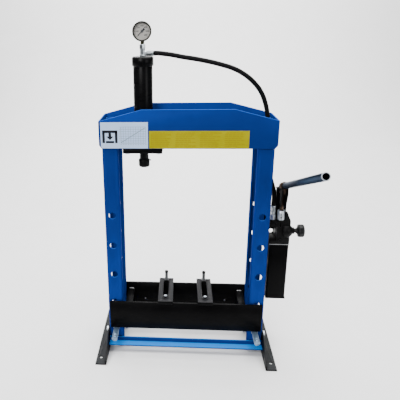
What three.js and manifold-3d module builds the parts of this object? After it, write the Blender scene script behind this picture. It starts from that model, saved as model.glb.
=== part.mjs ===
// Workshop press with a hand pump: a two-plate head on two uprights, a cylinder that slides along the
// head, a bed that hangs on two pins, and a lever pump with its oil tank beside the right upright.
// Millimetres, +Z up, +X to the operator's right, operator at -Y. The parts are laid out about the
// frame's middle plane; the whole press is then moved so that the origin is on the floor, on the left
// foot's sole, level with the middle of the front uprights.
import * as THREE from "three";
import { mergeVertices } from "three/addons/utils/BufferGeometryUtils.js";
import Module from "manifold-3d";

const wasm = await Module();
wasm.setup();

// ---- driving dimensions ----
const GAP = 0.3; // clearance between neighbouring solids

const HEAD_HALF_WIDTH = 323;
const HEAD_HALF_DEPTH = 83;
const HEAD_BOTTOM = 862;
const HEAD_END_TOP = 962;
const HEAD_MID_TOP = 1004;
const HEAD_FLAT_HALF = 165;
const HEAD_CORNER_CUT = 12;
const HEAD_SHEET = 6;
const HEAD_BEND = 8;
const RAIL_HALF = 250;
const RAIL_INNER = 62;
const RAIL_BOTTOM = 880;
const RAIL_HEIGHT = 12;

const LABEL_THICKNESS = 1;
const LABEL_BOTTOM = 864;
const WHITE_LABEL = [-314.5, -142];
const WHITE_LABEL_TOP = 960;
const YELLOW_LABEL = [-138, 219];
const YELLOW_LABEL_TOP = 928;
const LABEL_CORNER_CUT = 6;

const UPRIGHT_OUTER = 313.5;
const UPRIGHT_WIDTH = 59;
const UPRIGHT_DEPTH = 27;
const UPRIGHT_WALL = 4;
const UPRIGHT_BEND = 8;
const UPRIGHT_BOTTOM = 5.3;
const UPRIGHT_TOP = 950;

const PIN_HOLE_RADIUS = 14;
const PIN_HOLE_TOP = 596;
const PIN_HOLE_PITCH = 126.3;
const PIN_ROWS = 5;
const PIN_RADIUS = 12;
const PIN_FRONT = -148;
const PIN_BACK = 100;
const PIN_NECK_RADIUS = 9.5;

const ANGLE_LEG = 35;
const ANGLE_RISE = 23;
const ANGLE_WALL = 5;
const ANGLE_BOTTOM = 31;

const FOOT_HALF_LENGTH = 198;
const FOOT_WALL = 5;
const FOOT_OUTER = 358.5;
const FOOT_WEB_HEIGHT = 90;
const FOOT_END_HEIGHT = 20;
const FOOT_SLOPE_START = 112;
const FOOT_HOLE_Y = 155;
const FOOT_HOLE_RADIUS = 6.5;
const FOOT_BOLT_Y = 59;
const FOOT_BOLT_Z = 78;
const M12_RADIUS = 6;
const M12_HOLE = 6.5;

const BED_HALF_WIDTH = 307;
const BED_INNER = 78;
const BED_PLATE = 8;
const BED_HEIGHT = 121.4;
const BED_SPACER_X = 219;
const BED_SPACER_WALL = 28;
const BED_SPACER_TOP = 193;
const BED_SPACER_HEIGHT = 60;
const BED_SPACER_SHEET = 4;

const BLOCK_X = 80;
const BLOCK_WIDTH = 60;
const BLOCK_HALF_LENGTH = 97;
const BLOCK_HEIGHT = 14;
const BLOCK_SLOT_RADIUS = 11;
const BLOCK_SLOT_END = 62;
const BLOCK_BOLT_Y = -64;
const BLOCK_STUD_Y = 86;
const BLOCK_STUD_RADIUS = 6;
const BLOCK_STUD_RISE = 42;

const CYLINDER_X = -163;
const CARRIAGE_WIDTH = 145;
const CARRIAGE_LOWER_HALF = 80;
const CARRIAGE_UPPER_HALF = 73;
const CARRIAGE_LOWER_PLATE = 18.5;
const CARRIAGE_UPPER_PLATE = 12;
const CARRIAGE_BOLT_X = 58;
const CARRIAGE_BOLT_Y = 49;

const TUBE_RADIUS = 35;
const BORE_RADIUS = 23;
const TUBE_TOP = 1148;
const CAP_RADIUS = 39;
const CAP_HEIGHT = 34;
const ROD_RADIUS = 17;
const ROD_HOLE = 17.6;
const PISTON_HEIGHT = 30;
const PISTON_TOP = 1140;
const PAD_RADIUS = 21;
const PAD_BOTTOM = 772;
const PAD_HEIGHT = 31;
const PAD_SOCKET = 10;
const SPRING_TURNS = 13;
const SPRING_WIRE = 1.5;
const SPRING_RADIUS = 20;

const PORT_RADIUS = 4;
const TEE_RADIUS = 9.5;
const TEE_HEIGHT = 26;
const SWIVEL_HEIGHT = 16;
const GAUGE_Z = 1268.4;
const GAUGE_RADIUS = 34;
const GAUGE_DEPTH = 30;
const GAUGE_FRONT = -22;
const GAUGE_WALL = 2.5;
const GAUGE_FLOOR = 12;
const GLASS_THICKNESS = 2;
const NEEDLE_ZERO = -135; // degrees from straight up, towards +X

const HOSE_RADIUS = 8.5;
const HOSE_OUTLET_Z = 1193;
const FERRULE_RADIUS = 10;

const PUMP_X = 362;
const PUMP_BACK = 40;
const TANK_LEFT = 324.5;
const TANK_RIGHT = 400;
const TANK_FRONT = -38;
const TANK_BOTTOM = 229;
const TANK_TOP = 469;
const TANK_WALL = 3;
const TANK_CORNER = 8;
const FILLER_X = 389;
const FILLER_Y = 30;
const FILLER_RADIUS = 5;
const BODY_TOP = 565;
const BODY_WAIST = 541;
const BODY_WAIST_LEFT = 350;
const BODY_WAIST_BOTTOM = 483;
const BODY_LEFT = 321.5;
const BODY_FRONT = -36;
const BRACKET_WALL = 6;
const BRACKET_HOLE_X = 341;
const BRACKET_HOLE_Z = 493;
const BRACKET_HOLE_RADIUS = 9;
const VALVE_Z = 522;
const VALVE_Y = -23;
const STEM_RADIUS = 5;
const STEM_COLLAR_RADIUS = 8;
const KNOB_RADIUS = 26;
const KNOB_LEFT = 424;
const KNOB_WIDTH = 32;
const OUTLET_X = 332;
const OUTLET_Y = -24;
const NUT_HEIGHT = 25;
const FERRULE_LENGTH = 36;

const BARREL_RADIUS = 14;
const BARREL_TOP = 610;
const PLUNGER_RADIUS = 7;
const PIVOT_Y = -5;
const PIVOT_Z = 682;
const PLUNGER_ARM = 24;
const CROSS_PIN_RADIUS = 5;
const CHEEK_INNER = 7.6;
const CHEEK_WALL = 4.8;
const YOKE_INNER = 13;
const YOKE_WALL = 7;
const YOKE_FRONT = -17;
const YOKE_BACK = 27;
const YOKE_HEAD = 13;
const HANDLE_TILT = 21.05; // degrees above level, towards the operator
const HANDLE_RADIUS = 12;
const HANDLE_BORE = 9.5;
const HANDLE_NEAR = 570; // from the pivot to the open end, along the handle
const HANDLE_FAR = 36;
const HANDLE_RISE = 12.4; // handle axis above the pivot, square to the handle
const SOCKET_RADIUS = 16;
const SOCKET_NEAR = 54;
const SOCKET_FAR = 26;

// ---- derived sizes ----
const UPRIGHT_INNER = UPRIGHT_OUTER - UPRIGHT_WIDTH;
const UPRIGHT_FRONT = HEAD_HALF_DEPTH - HEAD_SHEET - GAP;
const UPRIGHT_MID = UPRIGHT_OUTER - UPRIGHT_WIDTH / 2;
const PIN_HOLE_BOTTOM_ROW = PIN_HOLE_TOP - (PIN_ROWS - 1) * PIN_HOLE_PITCH;
const PIN_Z = PIN_HOLE_BOTTOM_ROW - (PIN_HOLE_RADIUS - PIN_RADIUS) + 0.15;
const BED_BOTTOM = PIN_Z + PIN_RADIUS + GAP;
const BED_TOP = BED_BOTTOM + BED_HEIGHT;
const BLOCK_BOTTOM = BED_TOP + GAP;
const BLOCK_TOP = BLOCK_BOTTOM + BLOCK_HEIGHT;
const FOOT_INNER = UPRIGHT_OUTER + 2 * GAP;
const CARRIAGE_LOWER_TOP = HEAD_BOTTOM - GAP;
const CARRIAGE_LOWER_BOTTOM = CARRIAGE_LOWER_TOP - CARRIAGE_LOWER_PLATE;
const CARRIAGE_UPPER_BOTTOM = RAIL_BOTTOM + RAIL_HEIGHT + GAP;
const CARRIAGE_UPPER_TOP = CARRIAGE_UPPER_BOTTOM + CARRIAGE_UPPER_PLATE;
const PAD_TOP = PAD_BOTTOM + PAD_HEIGHT;
const ROD_BOTTOM = PAD_TOP - PAD_SOCKET + GAP;
const PISTON_BOTTOM = PISTON_TOP - PISTON_HEIGHT;
const CAP_BOTTOM = TUBE_TOP + GAP;
const CAP_TOP = CAP_BOTTOM + CAP_HEIGHT;
const TEE_BOTTOM = CAP_TOP + GAP;
const TEE_TOP = TEE_BOTTOM + TEE_HEIGHT;
const SWIVEL_TOP = TEE_TOP + SWIVEL_HEIGHT;
const BRACKET_BACK = PUMP_BACK + GAP + BRACKET_WALL;
const PLUNGER_Y = PIVOT_Y - PLUNGER_ARM;
const ORIGIN_X = -336; // on the left foot's sole
const ORIGIN_Y = -61.5; // level with the middle of the front uprights

// ---- materials ----
function paint(color, roughness, metalness) {
  return new THREE.MeshStandardMaterial({ color, roughness, metalness });
}
const BLUE = paint(0x0f4a91, 0.4, 0.1);
const BLACK = paint(0x141416, 0.45, 0.1);
const DARK_STEEL = paint(0x55565a, 0.5, 0.6);
const ZINC = paint(0xb0b8bc, 0.3, 0.9);
const STEEL = paint(0x9a9c9e, 0.28, 0.95);
const RUBBER = paint(0x101012, 0.7, 0);
const WHITE = paint(0xe8eaec, 0.5, 0);
const YELLOW = paint(0xb8a818, 0.5, 0);
const GLASS = paint(0xdfe8ec, 0.05, 0);
const SPRING_STEEL = paint(0x70757a, 0.35, 0.9);

// ---- geometry helpers ----
function box(xRange, yRange, zRange) {
  const sizes = [xRange, yRange, zRange].map(([low, high]) => high - low);
  const middles = [xRange, yRange, zRange].map(([low, high]) => (low + high) / 2);
  return new THREE.BoxGeometry(...sizes).translate(...middles);
}

// A round or, with few sides, many-sided bar between two places along one axis.
function bar(axis, radius, from, to, [across, along] = [0, 0], sides = 32) {
  const bare = new THREE.CylinderGeometry(radius, radius, to - from, sides);
  const middle = (from + to) / 2;
  if (axis === "x") return bare.rotateZ(-Math.PI / 2).translate(middle, across, along);
  if (axis === "y") return bare.translate(across, middle, along);
  return bare.rotateX(Math.PI / 2).translate(across, along, middle);
}

// The radius of a hexagon's corners from the width across its flats.
function hex(flats) {
  return flats / Math.sqrt(3);
}

function outline(points) {
  return new THREE.Shape(points.map(([x, y]) => new THREE.Vector2(x, y)));
}

// An outline drawn in X and Y, extruded along Z from one height to another.
function uprightPrism(shape, zLow, zHigh, curveSegments = 6) {
  const depth = zHigh - zLow;
  return new THREE.ExtrudeGeometry(shape, { depth, bevelEnabled: false, curveSegments }).translate(0, 0, zLow);
}

// An outline drawn in X and Z, extruded along Y.
function frontPrism(shape, yLow, yHigh, curveSegments = 6) {
  return uprightPrism(shape, -yHigh, -yLow, curveSegments).rotateX(Math.PI / 2);
}

// An outline drawn in Y and Z, extruded along X.
function sidePrism(shape, xLow, xHigh, curveSegments = 6) {
  return uprightPrism(shape, xLow, xHigh, curveSegments).rotateZ(Math.PI / 2).rotateY(Math.PI / 2);
}

// A profile of [radius, height] points, turned about Z.
function turned(profile, sides = 48) {
  const points = profile.map(([radius, height]) => new THREE.Vector2(radius, height));
  return new THREE.LatheGeometry(points, sides).rotateX(Math.PI / 2);
}

// A closed ring-shaped profile: the first point is repeated at the end.
function ring(profile, sides = 48) {
  return turned([...profile, profile[0]], sides);
}

function solid(geometry) {
  const bare = geometry.clone();
  bare.deleteAttribute("normal");
  bare.deleteAttribute("uv");
  const merged = mergeVertices(bare, 1e-4);
  return new wasm.Manifold(
    new wasm.Mesh({
      numProp: 3,
      vertProperties: new Float32Array(merged.attributes.position.array),
      triVerts: new Uint32Array(merged.index.array),
    }),
  );
}

function geometryOf(manifold) {
  const mesh = manifold.getMesh();
  const geometry = new THREE.BufferGeometry();
  geometry.setAttribute("position", new THREE.BufferAttribute(new Float32Array(mesh.vertProperties), 3));
  geometry.setIndex(new THREE.BufferAttribute(new Uint32Array(mesh.triVerts), 1));
  geometry.computeVertexNormals();
  return geometry;
}

function joined(...pieces) {
  return geometryOf(pieces.map(solid).reduce((sum, piece) => sum.add(piece)));
}

function cut(base, ...tools) {
  return geometryOf(tools.map(solid).reduce((rest, tool) => rest.subtract(tool), solid(base)));
}

function common(first, second) {
  return geometryOf(solid(first).intersect(solid(second)));
}

// The same solid on the other side of the X = 0 or Y = 0 plane.
function mirrored(geometry, axis) {
  const copy = geometry.clone().scale(axis === "x" ? -1 : 1, axis === "y" ? -1 : 1, 1);
  const order = copy.index ? copy.index.array : copy.attributes.position.array;
  if (copy.index) {
    for (let i = 0; i < order.length; i += 3) [order[i], order[i + 1]] = [order[i + 1], order[i]];
    return copy;
  }
  for (let i = 0; i < order.length; i += 9) {
    for (let k = 0; k < 3; k += 1) [order[i + k], order[i + 3 + k]] = [order[i + 3 + k], order[i + k]];
  }
  return copy;
}

const press = new THREE.Group();
press.position.set(-ORIGIN_X, -ORIGIN_Y, 0);

function add(name, geometry, material, group = press) {
  const mesh = new THREE.Mesh(geometry, material.clone());
  mesh.name = name;
  group.add(mesh);
  return mesh;
}

// ---- head: two bent sheets whose ends meet at the middle plane ----
function headPlan() {
  const out = HEAD_HALF_WIDTH;
  const inner = HEAD_HALF_WIDTH - HEAD_SHEET;
  const front = -HEAD_HALF_DEPTH;
  const back = -HEAD_HALF_DEPTH + HEAD_SHEET;
  const bendIn = HEAD_BEND - HEAD_SHEET;
  const shape = new THREE.Shape();
  shape.moveTo(-out, -GAP);
  shape.lineTo(-out, front + HEAD_BEND);
  shape.absarc(-out + HEAD_BEND, front + HEAD_BEND, HEAD_BEND, Math.PI, 1.5 * Math.PI, false);
  shape.absarc(out - HEAD_BEND, front + HEAD_BEND, HEAD_BEND, 1.5 * Math.PI, 2 * Math.PI, false);
  shape.lineTo(out, -GAP);
  shape.lineTo(inner, -GAP);
  shape.absarc(inner - bendIn, back + bendIn, bendIn, 0, -Math.PI / 2, true);
  shape.absarc(-inner + bendIn, back + bendIn, bendIn, 1.5 * Math.PI, Math.PI, true);
  shape.lineTo(-inner, -GAP);
  return shape;
}

function headSilhouette() {
  return outline([
    [-HEAD_HALF_WIDTH - 1, HEAD_BOTTOM + HEAD_CORNER_CUT + 1],
    [-HEAD_HALF_WIDTH + HEAD_CORNER_CUT, HEAD_BOTTOM],
    [HEAD_HALF_WIDTH - HEAD_CORNER_CUT, HEAD_BOTTOM],
    [HEAD_HALF_WIDTH + 1, HEAD_BOTTOM + HEAD_CORNER_CUT + 1],
    [HEAD_HALF_WIDTH + 1, HEAD_END_TOP],
    [HEAD_FLAT_HALF, HEAD_MID_TOP],
    [-HEAD_FLAT_HALF, HEAD_MID_TOP],
    [-HEAD_HALF_WIDTH - 1, HEAD_END_TOP],
  ]);
}

function headSheet() {
  const bent = uprightPrism(headPlan(), HEAD_BOTTOM - 1, HEAD_MID_TOP + 1);
  return common(bent, frontPrism(headSilhouette(), -HEAD_HALF_DEPTH - 1, 1));
}

function headRail() {
  const depth = [-UPRIGHT_FRONT, -RAIL_INNER];
  return box([-RAIL_HALF, RAIL_HALF], depth, [RAIL_BOTTOM, RAIL_BOTTOM + RAIL_HEIGHT]);
}

add("head_front_plate", headSheet(), BLUE);
add("head_rear_plate", mirrored(headSheet(), "y"), BLUE);
add("head_rail_front", headRail(), BLUE);
add("head_rail_rear", mirrored(headRail(), "y"), BLUE);

// ---- labels on the head's front face ----
const labelDepth = [-HEAD_HALF_DEPTH - GAP - LABEL_THICKNESS, -HEAD_HALF_DEPTH - GAP];
const [whiteLeft, whiteRight] = WHITE_LABEL;
add("label_white", frontPrism(outline([
  [whiteLeft + LABEL_CORNER_CUT, LABEL_BOTTOM],
  [whiteRight, LABEL_BOTTOM],
  [whiteRight, WHITE_LABEL_TOP],
  [whiteLeft, WHITE_LABEL_TOP],
  [whiteLeft, LABEL_BOTTOM + LABEL_CORNER_CUT],
]), ...labelDepth), WHITE);
add("label_yellow", box(YELLOW_LABEL, labelDepth, [LABEL_BOTTOM, YELLOW_LABEL_TOP]), YELLOW);

// ---- uprights: a front and a rear channel on each side, open towards each other ----
function channelPlan() {
  const inner = UPRIGHT_INNER;
  const outer = UPRIGHT_OUTER;
  const front = -UPRIGHT_FRONT;
  const back = front + UPRIGHT_DEPTH;
  const wall = UPRIGHT_WALL;
  const bendIn = UPRIGHT_BEND - wall;
  const shape = new THREE.Shape();
  shape.moveTo(inner, back);
  shape.lineTo(inner, front + UPRIGHT_BEND);
  shape.absarc(inner + UPRIGHT_BEND, front + UPRIGHT_BEND, UPRIGHT_BEND, Math.PI, 1.5 * Math.PI, false);
  shape.absarc(outer - UPRIGHT_BEND, front + UPRIGHT_BEND, UPRIGHT_BEND, 1.5 * Math.PI, 2 * Math.PI, false);
  shape.lineTo(outer, back);
  shape.lineTo(outer - wall, back);
  shape.absarc(outer - wall - bendIn, front + wall + bendIn, bendIn, 0, -Math.PI / 2, true);
  shape.absarc(inner + wall + bendIn, front + wall + bendIn, bendIn, 1.5 * Math.PI, Math.PI, true);
  shape.lineTo(inner + wall, back);
  return shape;
}

function channel() {
  const bare = uprightPrism(channelPlan(), UPRIGHT_BOTTOM, UPRIGHT_TOP, 4);
  const pinHoles = Array.from({ length: PIN_ROWS }, (_, row) => {
    const height = PIN_HOLE_TOP - row * PIN_HOLE_PITCH;
    return bar("y", PIN_HOLE_RADIUS, -UPRIGHT_FRONT - 5, -UPRIGHT_FRONT + UPRIGHT_WALL + 5, [UPRIGHT_MID, height]);
  });
  const boltHole = bar("x", M12_HOLE, UPRIGHT_OUTER - 10, UPRIGHT_OUTER + 5, [-FOOT_BOLT_Y, FOOT_BOLT_Z], 24);
  return cut(bare, ...pinHoles, boltHole);
}

add("upright_right_front", channel(), BLUE);
add("upright_right_rear", mirrored(channel(), "y"), BLUE);
add("upright_left_front", mirrored(channel(), "x"), BLUE);
add("upright_left_rear", mirrored(mirrored(channel(), "x"), "y"), BLUE);

// ---- base: an angle across the faces of the front channels, and one across the rear channels ----
function baseAngle() {
  const back = -UPRIGHT_FRONT - GAP;
  const front = back - ANGLE_LEG;
  const profile = outline([
    [front, ANGLE_BOTTOM],
    [back, ANGLE_BOTTOM],
    [back, ANGLE_BOTTOM + ANGLE_RISE],
    [back - ANGLE_WALL, ANGLE_BOTTOM + ANGLE_RISE],
    [back - ANGLE_WALL, ANGLE_BOTTOM + ANGLE_WALL],
    [front, ANGLE_BOTTOM + ANGLE_WALL],
  ]);
  return sidePrism(profile, -UPRIGHT_OUTER, UPRIGHT_OUTER);
}

add("base_front_angle", baseAngle(), BLUE);
add("base_rear_angle", mirrored(baseAngle(), "y"), BLUE);

// ---- feet: bent plates with a sloping web, bolted to the uprights' outer sides ----
function foot() {
  const web = sidePrism(
    outline([
      [-FOOT_HALF_LENGTH, 0],
      [FOOT_HALF_LENGTH, 0],
      [FOOT_HALF_LENGTH, FOOT_END_HEIGHT],
      [FOOT_SLOPE_START, FOOT_WEB_HEIGHT],
      [-FOOT_SLOPE_START, FOOT_WEB_HEIGHT],
      [-FOOT_HALF_LENGTH, FOOT_END_HEIGHT],
    ]),
    FOOT_INNER,
    FOOT_INNER + FOOT_WALL,
  );
  const sole = box([FOOT_INNER, FOOT_OUTER], [-FOOT_HALF_LENGTH, FOOT_HALF_LENGTH], [0, FOOT_WALL]);
  const holeX = (FOOT_INNER + FOOT_WALL + FOOT_OUTER) / 2 + 2;
  const holes = [-1, 1].flatMap((end) => [
    bar("z", FOOT_HOLE_RADIUS, -5, FOOT_WALL + 5, [holeX, end * FOOT_HOLE_Y], 24),
    bar("x", M12_HOLE, FOOT_INNER - 5, FOOT_INNER + FOOT_WALL + 5, [end * FOOT_BOLT_Y, FOOT_BOLT_Z], 24),
  ]);
  return cut(joined(web, sole), ...holes);
}

add("foot_right", foot(), DARK_STEEL);
add("foot_left", mirrored(foot(), "x"), DARK_STEEL);

function footBolt() {
  const place = [-FOOT_BOLT_Y, FOOT_BOLT_Z];
  const webOut = FOOT_INNER + FOOT_WALL + GAP;
  const wallIn = UPRIGHT_OUTER - UPRIGHT_WALL - GAP;
  return joined(
    bar("x", M12_RADIUS, wallIn - 12, webOut + 1, place, 24),
    bar("x", hex(18), webOut, webOut + 7.5, place, 6),
    bar("x", hex(18), wallIn - 10, wallIn, place, 6),
  );
}

add("foot_bolt_right_front", footBolt(), ZINC);
add("foot_bolt_right_rear", mirrored(footBolt(), "y"), ZINC);
add("foot_bolt_left_front", mirrored(footBolt(), "x"), ZINC);
add("foot_bolt_left_rear", mirrored(mirrored(footBolt(), "x"), "y"), ZINC);

// ---- bed: two plates astride the uprights, tied by two spacers, resting on two pins ----
for (const [place, side] of [["front", -1], ["rear", 1]]) {
  const faces = [side * BED_INNER, side * (BED_INNER + BED_PLATE)].sort((a, b) => a - b);
  add(`bed_${place}_plate`, box([-BED_HALF_WIDTH, BED_HALF_WIDTH], faces, [BED_BOTTOM, BED_TOP]), BLACK);
}

for (const [place, side] of [["left", -1], ["right", 1]]) {
  const near = BED_SPACER_X;
  const far = BED_SPACER_X + BED_SPACER_WALL;
  const floor = BED_SPACER_TOP - BED_SPACER_HEIGHT;
  const reach = BED_INNER - GAP;
  const spacer = cut(
    box([near, far], [-reach, reach], [floor, BED_SPACER_TOP]),
    box(
      [near + BED_SPACER_SHEET, far - BED_SPACER_SHEET],
      [-reach - 5, reach + 5],
      [floor - 5, BED_SPACER_TOP - BED_SPACER_SHEET],
    ),
  );
  add(`bed_spacer_${place}`, side < 0 ? mirrored(spacer, "x") : spacer, BLACK);
  const pin = turned([
    [0, PIN_FRONT],
    [PIN_RADIUS - 2, PIN_FRONT],
    [PIN_RADIUS, PIN_FRONT + 2],
    [PIN_RADIUS, PIN_FRONT + 10],
    [PIN_NECK_RADIUS, PIN_FRONT + 12],
    [PIN_NECK_RADIUS, PIN_FRONT + 17],
    [PIN_RADIUS, PIN_FRONT + 19],
    [PIN_RADIUS, PIN_BACK - 2],
    [PIN_RADIUS - 2, PIN_BACK],
    [0, PIN_BACK],
  ], 32).rotateX(-Math.PI / 2);
  const mesh = add(`bed_pin_${place}`, pin, ZINC);
  mesh.position.set(side * UPRIGHT_MID, 0, PIN_Z);
}

// ---- bed blocks: slotted bars across the bed, each with a stud and a locating bolt ----
function blockSlot() {
  const shape = new THREE.Shape();
  shape.absarc(0, -BLOCK_SLOT_END, BLOCK_SLOT_RADIUS, Math.PI, 2 * Math.PI, false);
  shape.absarc(0, BLOCK_SLOT_END, BLOCK_SLOT_RADIUS, 0, Math.PI, false);
  return uprightPrism(shape, BLOCK_BOTTOM - 5, BLOCK_TOP + 5, 8);
}

for (const [place, side] of [["left", -1], ["right", 1]]) {
  const group = new THREE.Group();
  group.position.x = side * BLOCK_X;
  press.add(group);
  const body = box(
    [-BLOCK_WIDTH / 2, BLOCK_WIDTH / 2],
    [-BLOCK_HALF_LENGTH, BLOCK_HALF_LENGTH],
    [BLOCK_BOTTOM, BLOCK_TOP],
  );
  const stud = bar("z", BLOCK_STUD_RADIUS, BLOCK_BOTTOM + 3, BLOCK_TOP + BLOCK_STUD_RISE, [0, BLOCK_STUD_Y], 24);
  add(`block_${place}`, joined(cut(body, blockSlot()), stud), BLACK, group);
  const bolt = joined(
    bar("z", 8, BLOCK_BOTTOM - 25, BLOCK_TOP + GAP + 1, [0, BLOCK_BOLT_Y], 24),
    bar("z", 14, BLOCK_TOP + GAP, BLOCK_TOP + GAP + 2, [0, BLOCK_BOLT_Y], 24),
    bar("z", hex(16), BLOCK_TOP + GAP + 1, BLOCK_TOP + GAP + 8, [0, BLOCK_BOLT_Y], 6),
  );
  add(`block_bolt_${place}`, bolt, ZINC, group);
}

// ---- carriage: plates above and below the head's bottom flanges, clamped by four bolts ----
const carriage = new THREE.Group();
carriage.position.x = CYLINDER_X;
press.add(carriage);

function carriagePlate(halfDepth, bottom, top, holeRadius) {
  const plate = box([-CARRIAGE_WIDTH / 2, CARRIAGE_WIDTH / 2], [-halfDepth, halfDepth], [bottom, top]);
  const boltHoles = [-1, 1].flatMap((x) => [-1, 1].map((y) =>
    bar("z", M12_HOLE, bottom - 5, top + 5, [x * CARRIAGE_BOLT_X, y * CARRIAGE_BOLT_Y], 24)));
  return cut(plate, bar("z", holeRadius, bottom - 5, top + 5, [0, 0], 48), ...boltHoles);
}

add("carriage_lower_plate",
  carriagePlate(CARRIAGE_LOWER_HALF, CARRIAGE_LOWER_BOTTOM, CARRIAGE_LOWER_TOP, ROD_HOLE), BLACK, carriage);
add("carriage_upper_plate",
  carriagePlate(CARRIAGE_UPPER_HALF, CARRIAGE_UPPER_BOTTOM, CARRIAGE_UPPER_TOP, TUBE_RADIUS + GAP), BLACK, carriage);

for (const [sideName, x] of [["left", -1], ["right", 1]]) {
  for (const [endName, y] of [["front", -1], ["rear", 1]]) {
    const place = [x * CARRIAGE_BOLT_X, y * CARRIAGE_BOLT_Y];
    const head = CARRIAGE_LOWER_BOTTOM - GAP;
    const nut = CARRIAGE_UPPER_TOP + GAP;
    add(`carriage_bolt_${sideName}_${endName}`, joined(
      bar("z", M12_RADIUS, head - 1, nut + 13, place, 24),
      bar("z", hex(18), head - 7.5, head, place, 6),
      bar("z", hex(18), nut, nut + 10, place, 6),
    ), ZINC, carriage);
  }
}

// ---- cylinder ----
add("cylinder_tube", ring([
  [BORE_RADIUS, CARRIAGE_LOWER_TOP + GAP],
  [TUBE_RADIUS, CARRIAGE_LOWER_TOP + GAP],
  [TUBE_RADIUS, TUBE_TOP],
  [BORE_RADIUS, TUBE_TOP],
]), BLACK, carriage);

add("cylinder_cap", ring([
  [PORT_RADIUS, CAP_BOTTOM - 6],
  [BORE_RADIUS - 2 * GAP, CAP_BOTTOM - 6],
  [BORE_RADIUS - 2 * GAP, CAP_BOTTOM],
  [CAP_RADIUS - 3, CAP_BOTTOM],
  [CAP_RADIUS, CAP_BOTTOM + 3],
  [CAP_RADIUS, CAP_TOP - 4],
  [CAP_RADIUS - 4, CAP_TOP],
  [PORT_RADIUS, CAP_TOP],
]), BLACK, carriage);

add("ram", turned([
  [0, ROD_BOTTOM],
  [ROD_RADIUS, ROD_BOTTOM],
  [ROD_RADIUS, PISTON_BOTTOM],
  [BORE_RADIUS - 2 * GAP, PISTON_BOTTOM],
  [BORE_RADIUS - 2 * GAP, PISTON_TOP],
  [0, PISTON_TOP],
]), DARK_STEEL, carriage);

const padSide = PAD_TOP - 5;
const pad = turned([
  [0, PAD_BOTTOM],
  [PAD_RADIUS - 7, PAD_BOTTOM],
  [PAD_RADIUS - 2, PAD_BOTTOM + 2],
  [PAD_RADIUS, PAD_BOTTOM + 7],
  [PAD_RADIUS, PAD_TOP - 2],
  [PAD_RADIUS - 2, PAD_TOP],
  [ROD_RADIUS + GAP, PAD_TOP],
  [ROD_RADIUS + GAP, PAD_TOP - PAD_SOCKET],
  [0, PAD_TOP - PAD_SOCKET],
]);
add("ram_pad", cut(pad, bar("x", 2.8, ROD_RADIUS - 2, PAD_RADIUS + 5, [0, padSide], 16)), BLACK, carriage);
add("pad_screw", bar("x", 2.5, ROD_RADIUS + GAP, PAD_RADIUS + 5, [0, padSide], 16), DARK_STEEL, carriage);

class Helix extends THREE.Curve {
  getPoint(t, target = new THREE.Vector3()) {
    const low = CARRIAGE_LOWER_TOP + GAP + SPRING_WIRE;
    const high = PISTON_BOTTOM - 2 * GAP - SPRING_WIRE;
    const angle = 2 * Math.PI * SPRING_TURNS * t;
    const [across, along] = [Math.cos(angle), Math.sin(angle)];
    return target.set(SPRING_RADIUS * across, SPRING_RADIUS * along, low + (high - low) * t);
  }
}

function roundSection(radius, sides) {
  return outline(Array.from({ length: sides }, (_, i) => {
    const angle = (2 * Math.PI * i) / sides;
    return [radius * Math.cos(angle), radius * Math.sin(angle)];
  }));
}

add("return_spring", new THREE.ExtrudeGeometry(roundSection(SPRING_WIRE, 6), {
  steps: SPRING_TURNS * 12,
  extrudePath: new Helix(),
}), SPRING_STEEL, carriage);

// ---- fittings and gauge on the cylinder ----
const outletEnd = 26;
add("cap_tee", cut(
  joined(
    bar("z", TEE_RADIUS, TEE_BOTTOM, TEE_TOP),
    bar("x", hex(17), 0, outletEnd - GAP - 12, [0, HOSE_OUTLET_Z], 6),
    bar("z", hex(19), TEE_TOP - 1, SWIVEL_TOP, [0, 0], 6),
  ),
  bar("z", PORT_RADIUS - 1, TEE_BOTTOM - 1, SWIVEL_TOP + 1, [0, 0], 16),
  bar("x", PORT_RADIUS - 1, 0, outletEnd, [0, HOSE_OUTLET_Z], 16),
), ZINC, carriage);

const ferruleEnd = 39;
add("hose_ferrule_cylinder",
  bar("x", FERRULE_RADIUS, outletEnd - 12, ferruleEnd, [0, HOSE_OUTLET_Z], 24), ZINC, carriage);

const gaugeBack = GAUGE_FRONT + GAUGE_DEPTH;
const cup = ring([
  [0, gaugeBack],
  [0, GAUGE_FRONT + GAUGE_FLOOR],
  [GAUGE_RADIUS - GAUGE_WALL, GAUGE_FRONT + GAUGE_FLOOR],
  [GAUGE_RADIUS - GAUGE_WALL, GAUGE_FRONT],
  [GAUGE_RADIUS, GAUGE_FRONT],
  [GAUGE_RADIUS, GAUGE_FRONT + 6],
  [GAUGE_RADIUS - 1.5, GAUGE_FRONT + 7],
  [GAUGE_RADIUS - 1.5, gaugeBack - 3],
  [GAUGE_RADIUS - 4.5, gaugeBack],
]).rotateX(-Math.PI / 2).translate(0, 0, GAUGE_Z);
const stem = bar("z", 5, SWIVEL_TOP + GAP, GAUGE_Z - GAUGE_RADIUS + 6, [0, 0], 24);
add("gauge_case", joined(cup, stem), BLACK, carriage);
const glassFront = GAUGE_FRONT + 1.5;
add("gauge_glass", bar(
  "y", GAUGE_RADIUS - GAUGE_WALL - GAP, glassFront, glassFront + GLASS_THICKNESS, [0, GAUGE_Z], 48,
), GLASS, carriage);

const needleBack = GAUGE_FRONT + GAUGE_FLOOR - 2;
const needle = joined(
  frontPrism(outline([[-2, -9], [2, -9], [0.7, 25], [-0.7, 25]]), needleBack - 1, needleBack),
  bar("y", 3.5, needleBack - 2, needleBack + 1, [0, 0], 24),
);
const needleMesh = add("gauge_needle", needle, BLACK, carriage);
needleMesh.position.z = GAUGE_Z;
needleMesh.rotation.y = THREE.MathUtils.degToRad(NEEDLE_ZERO);

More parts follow.
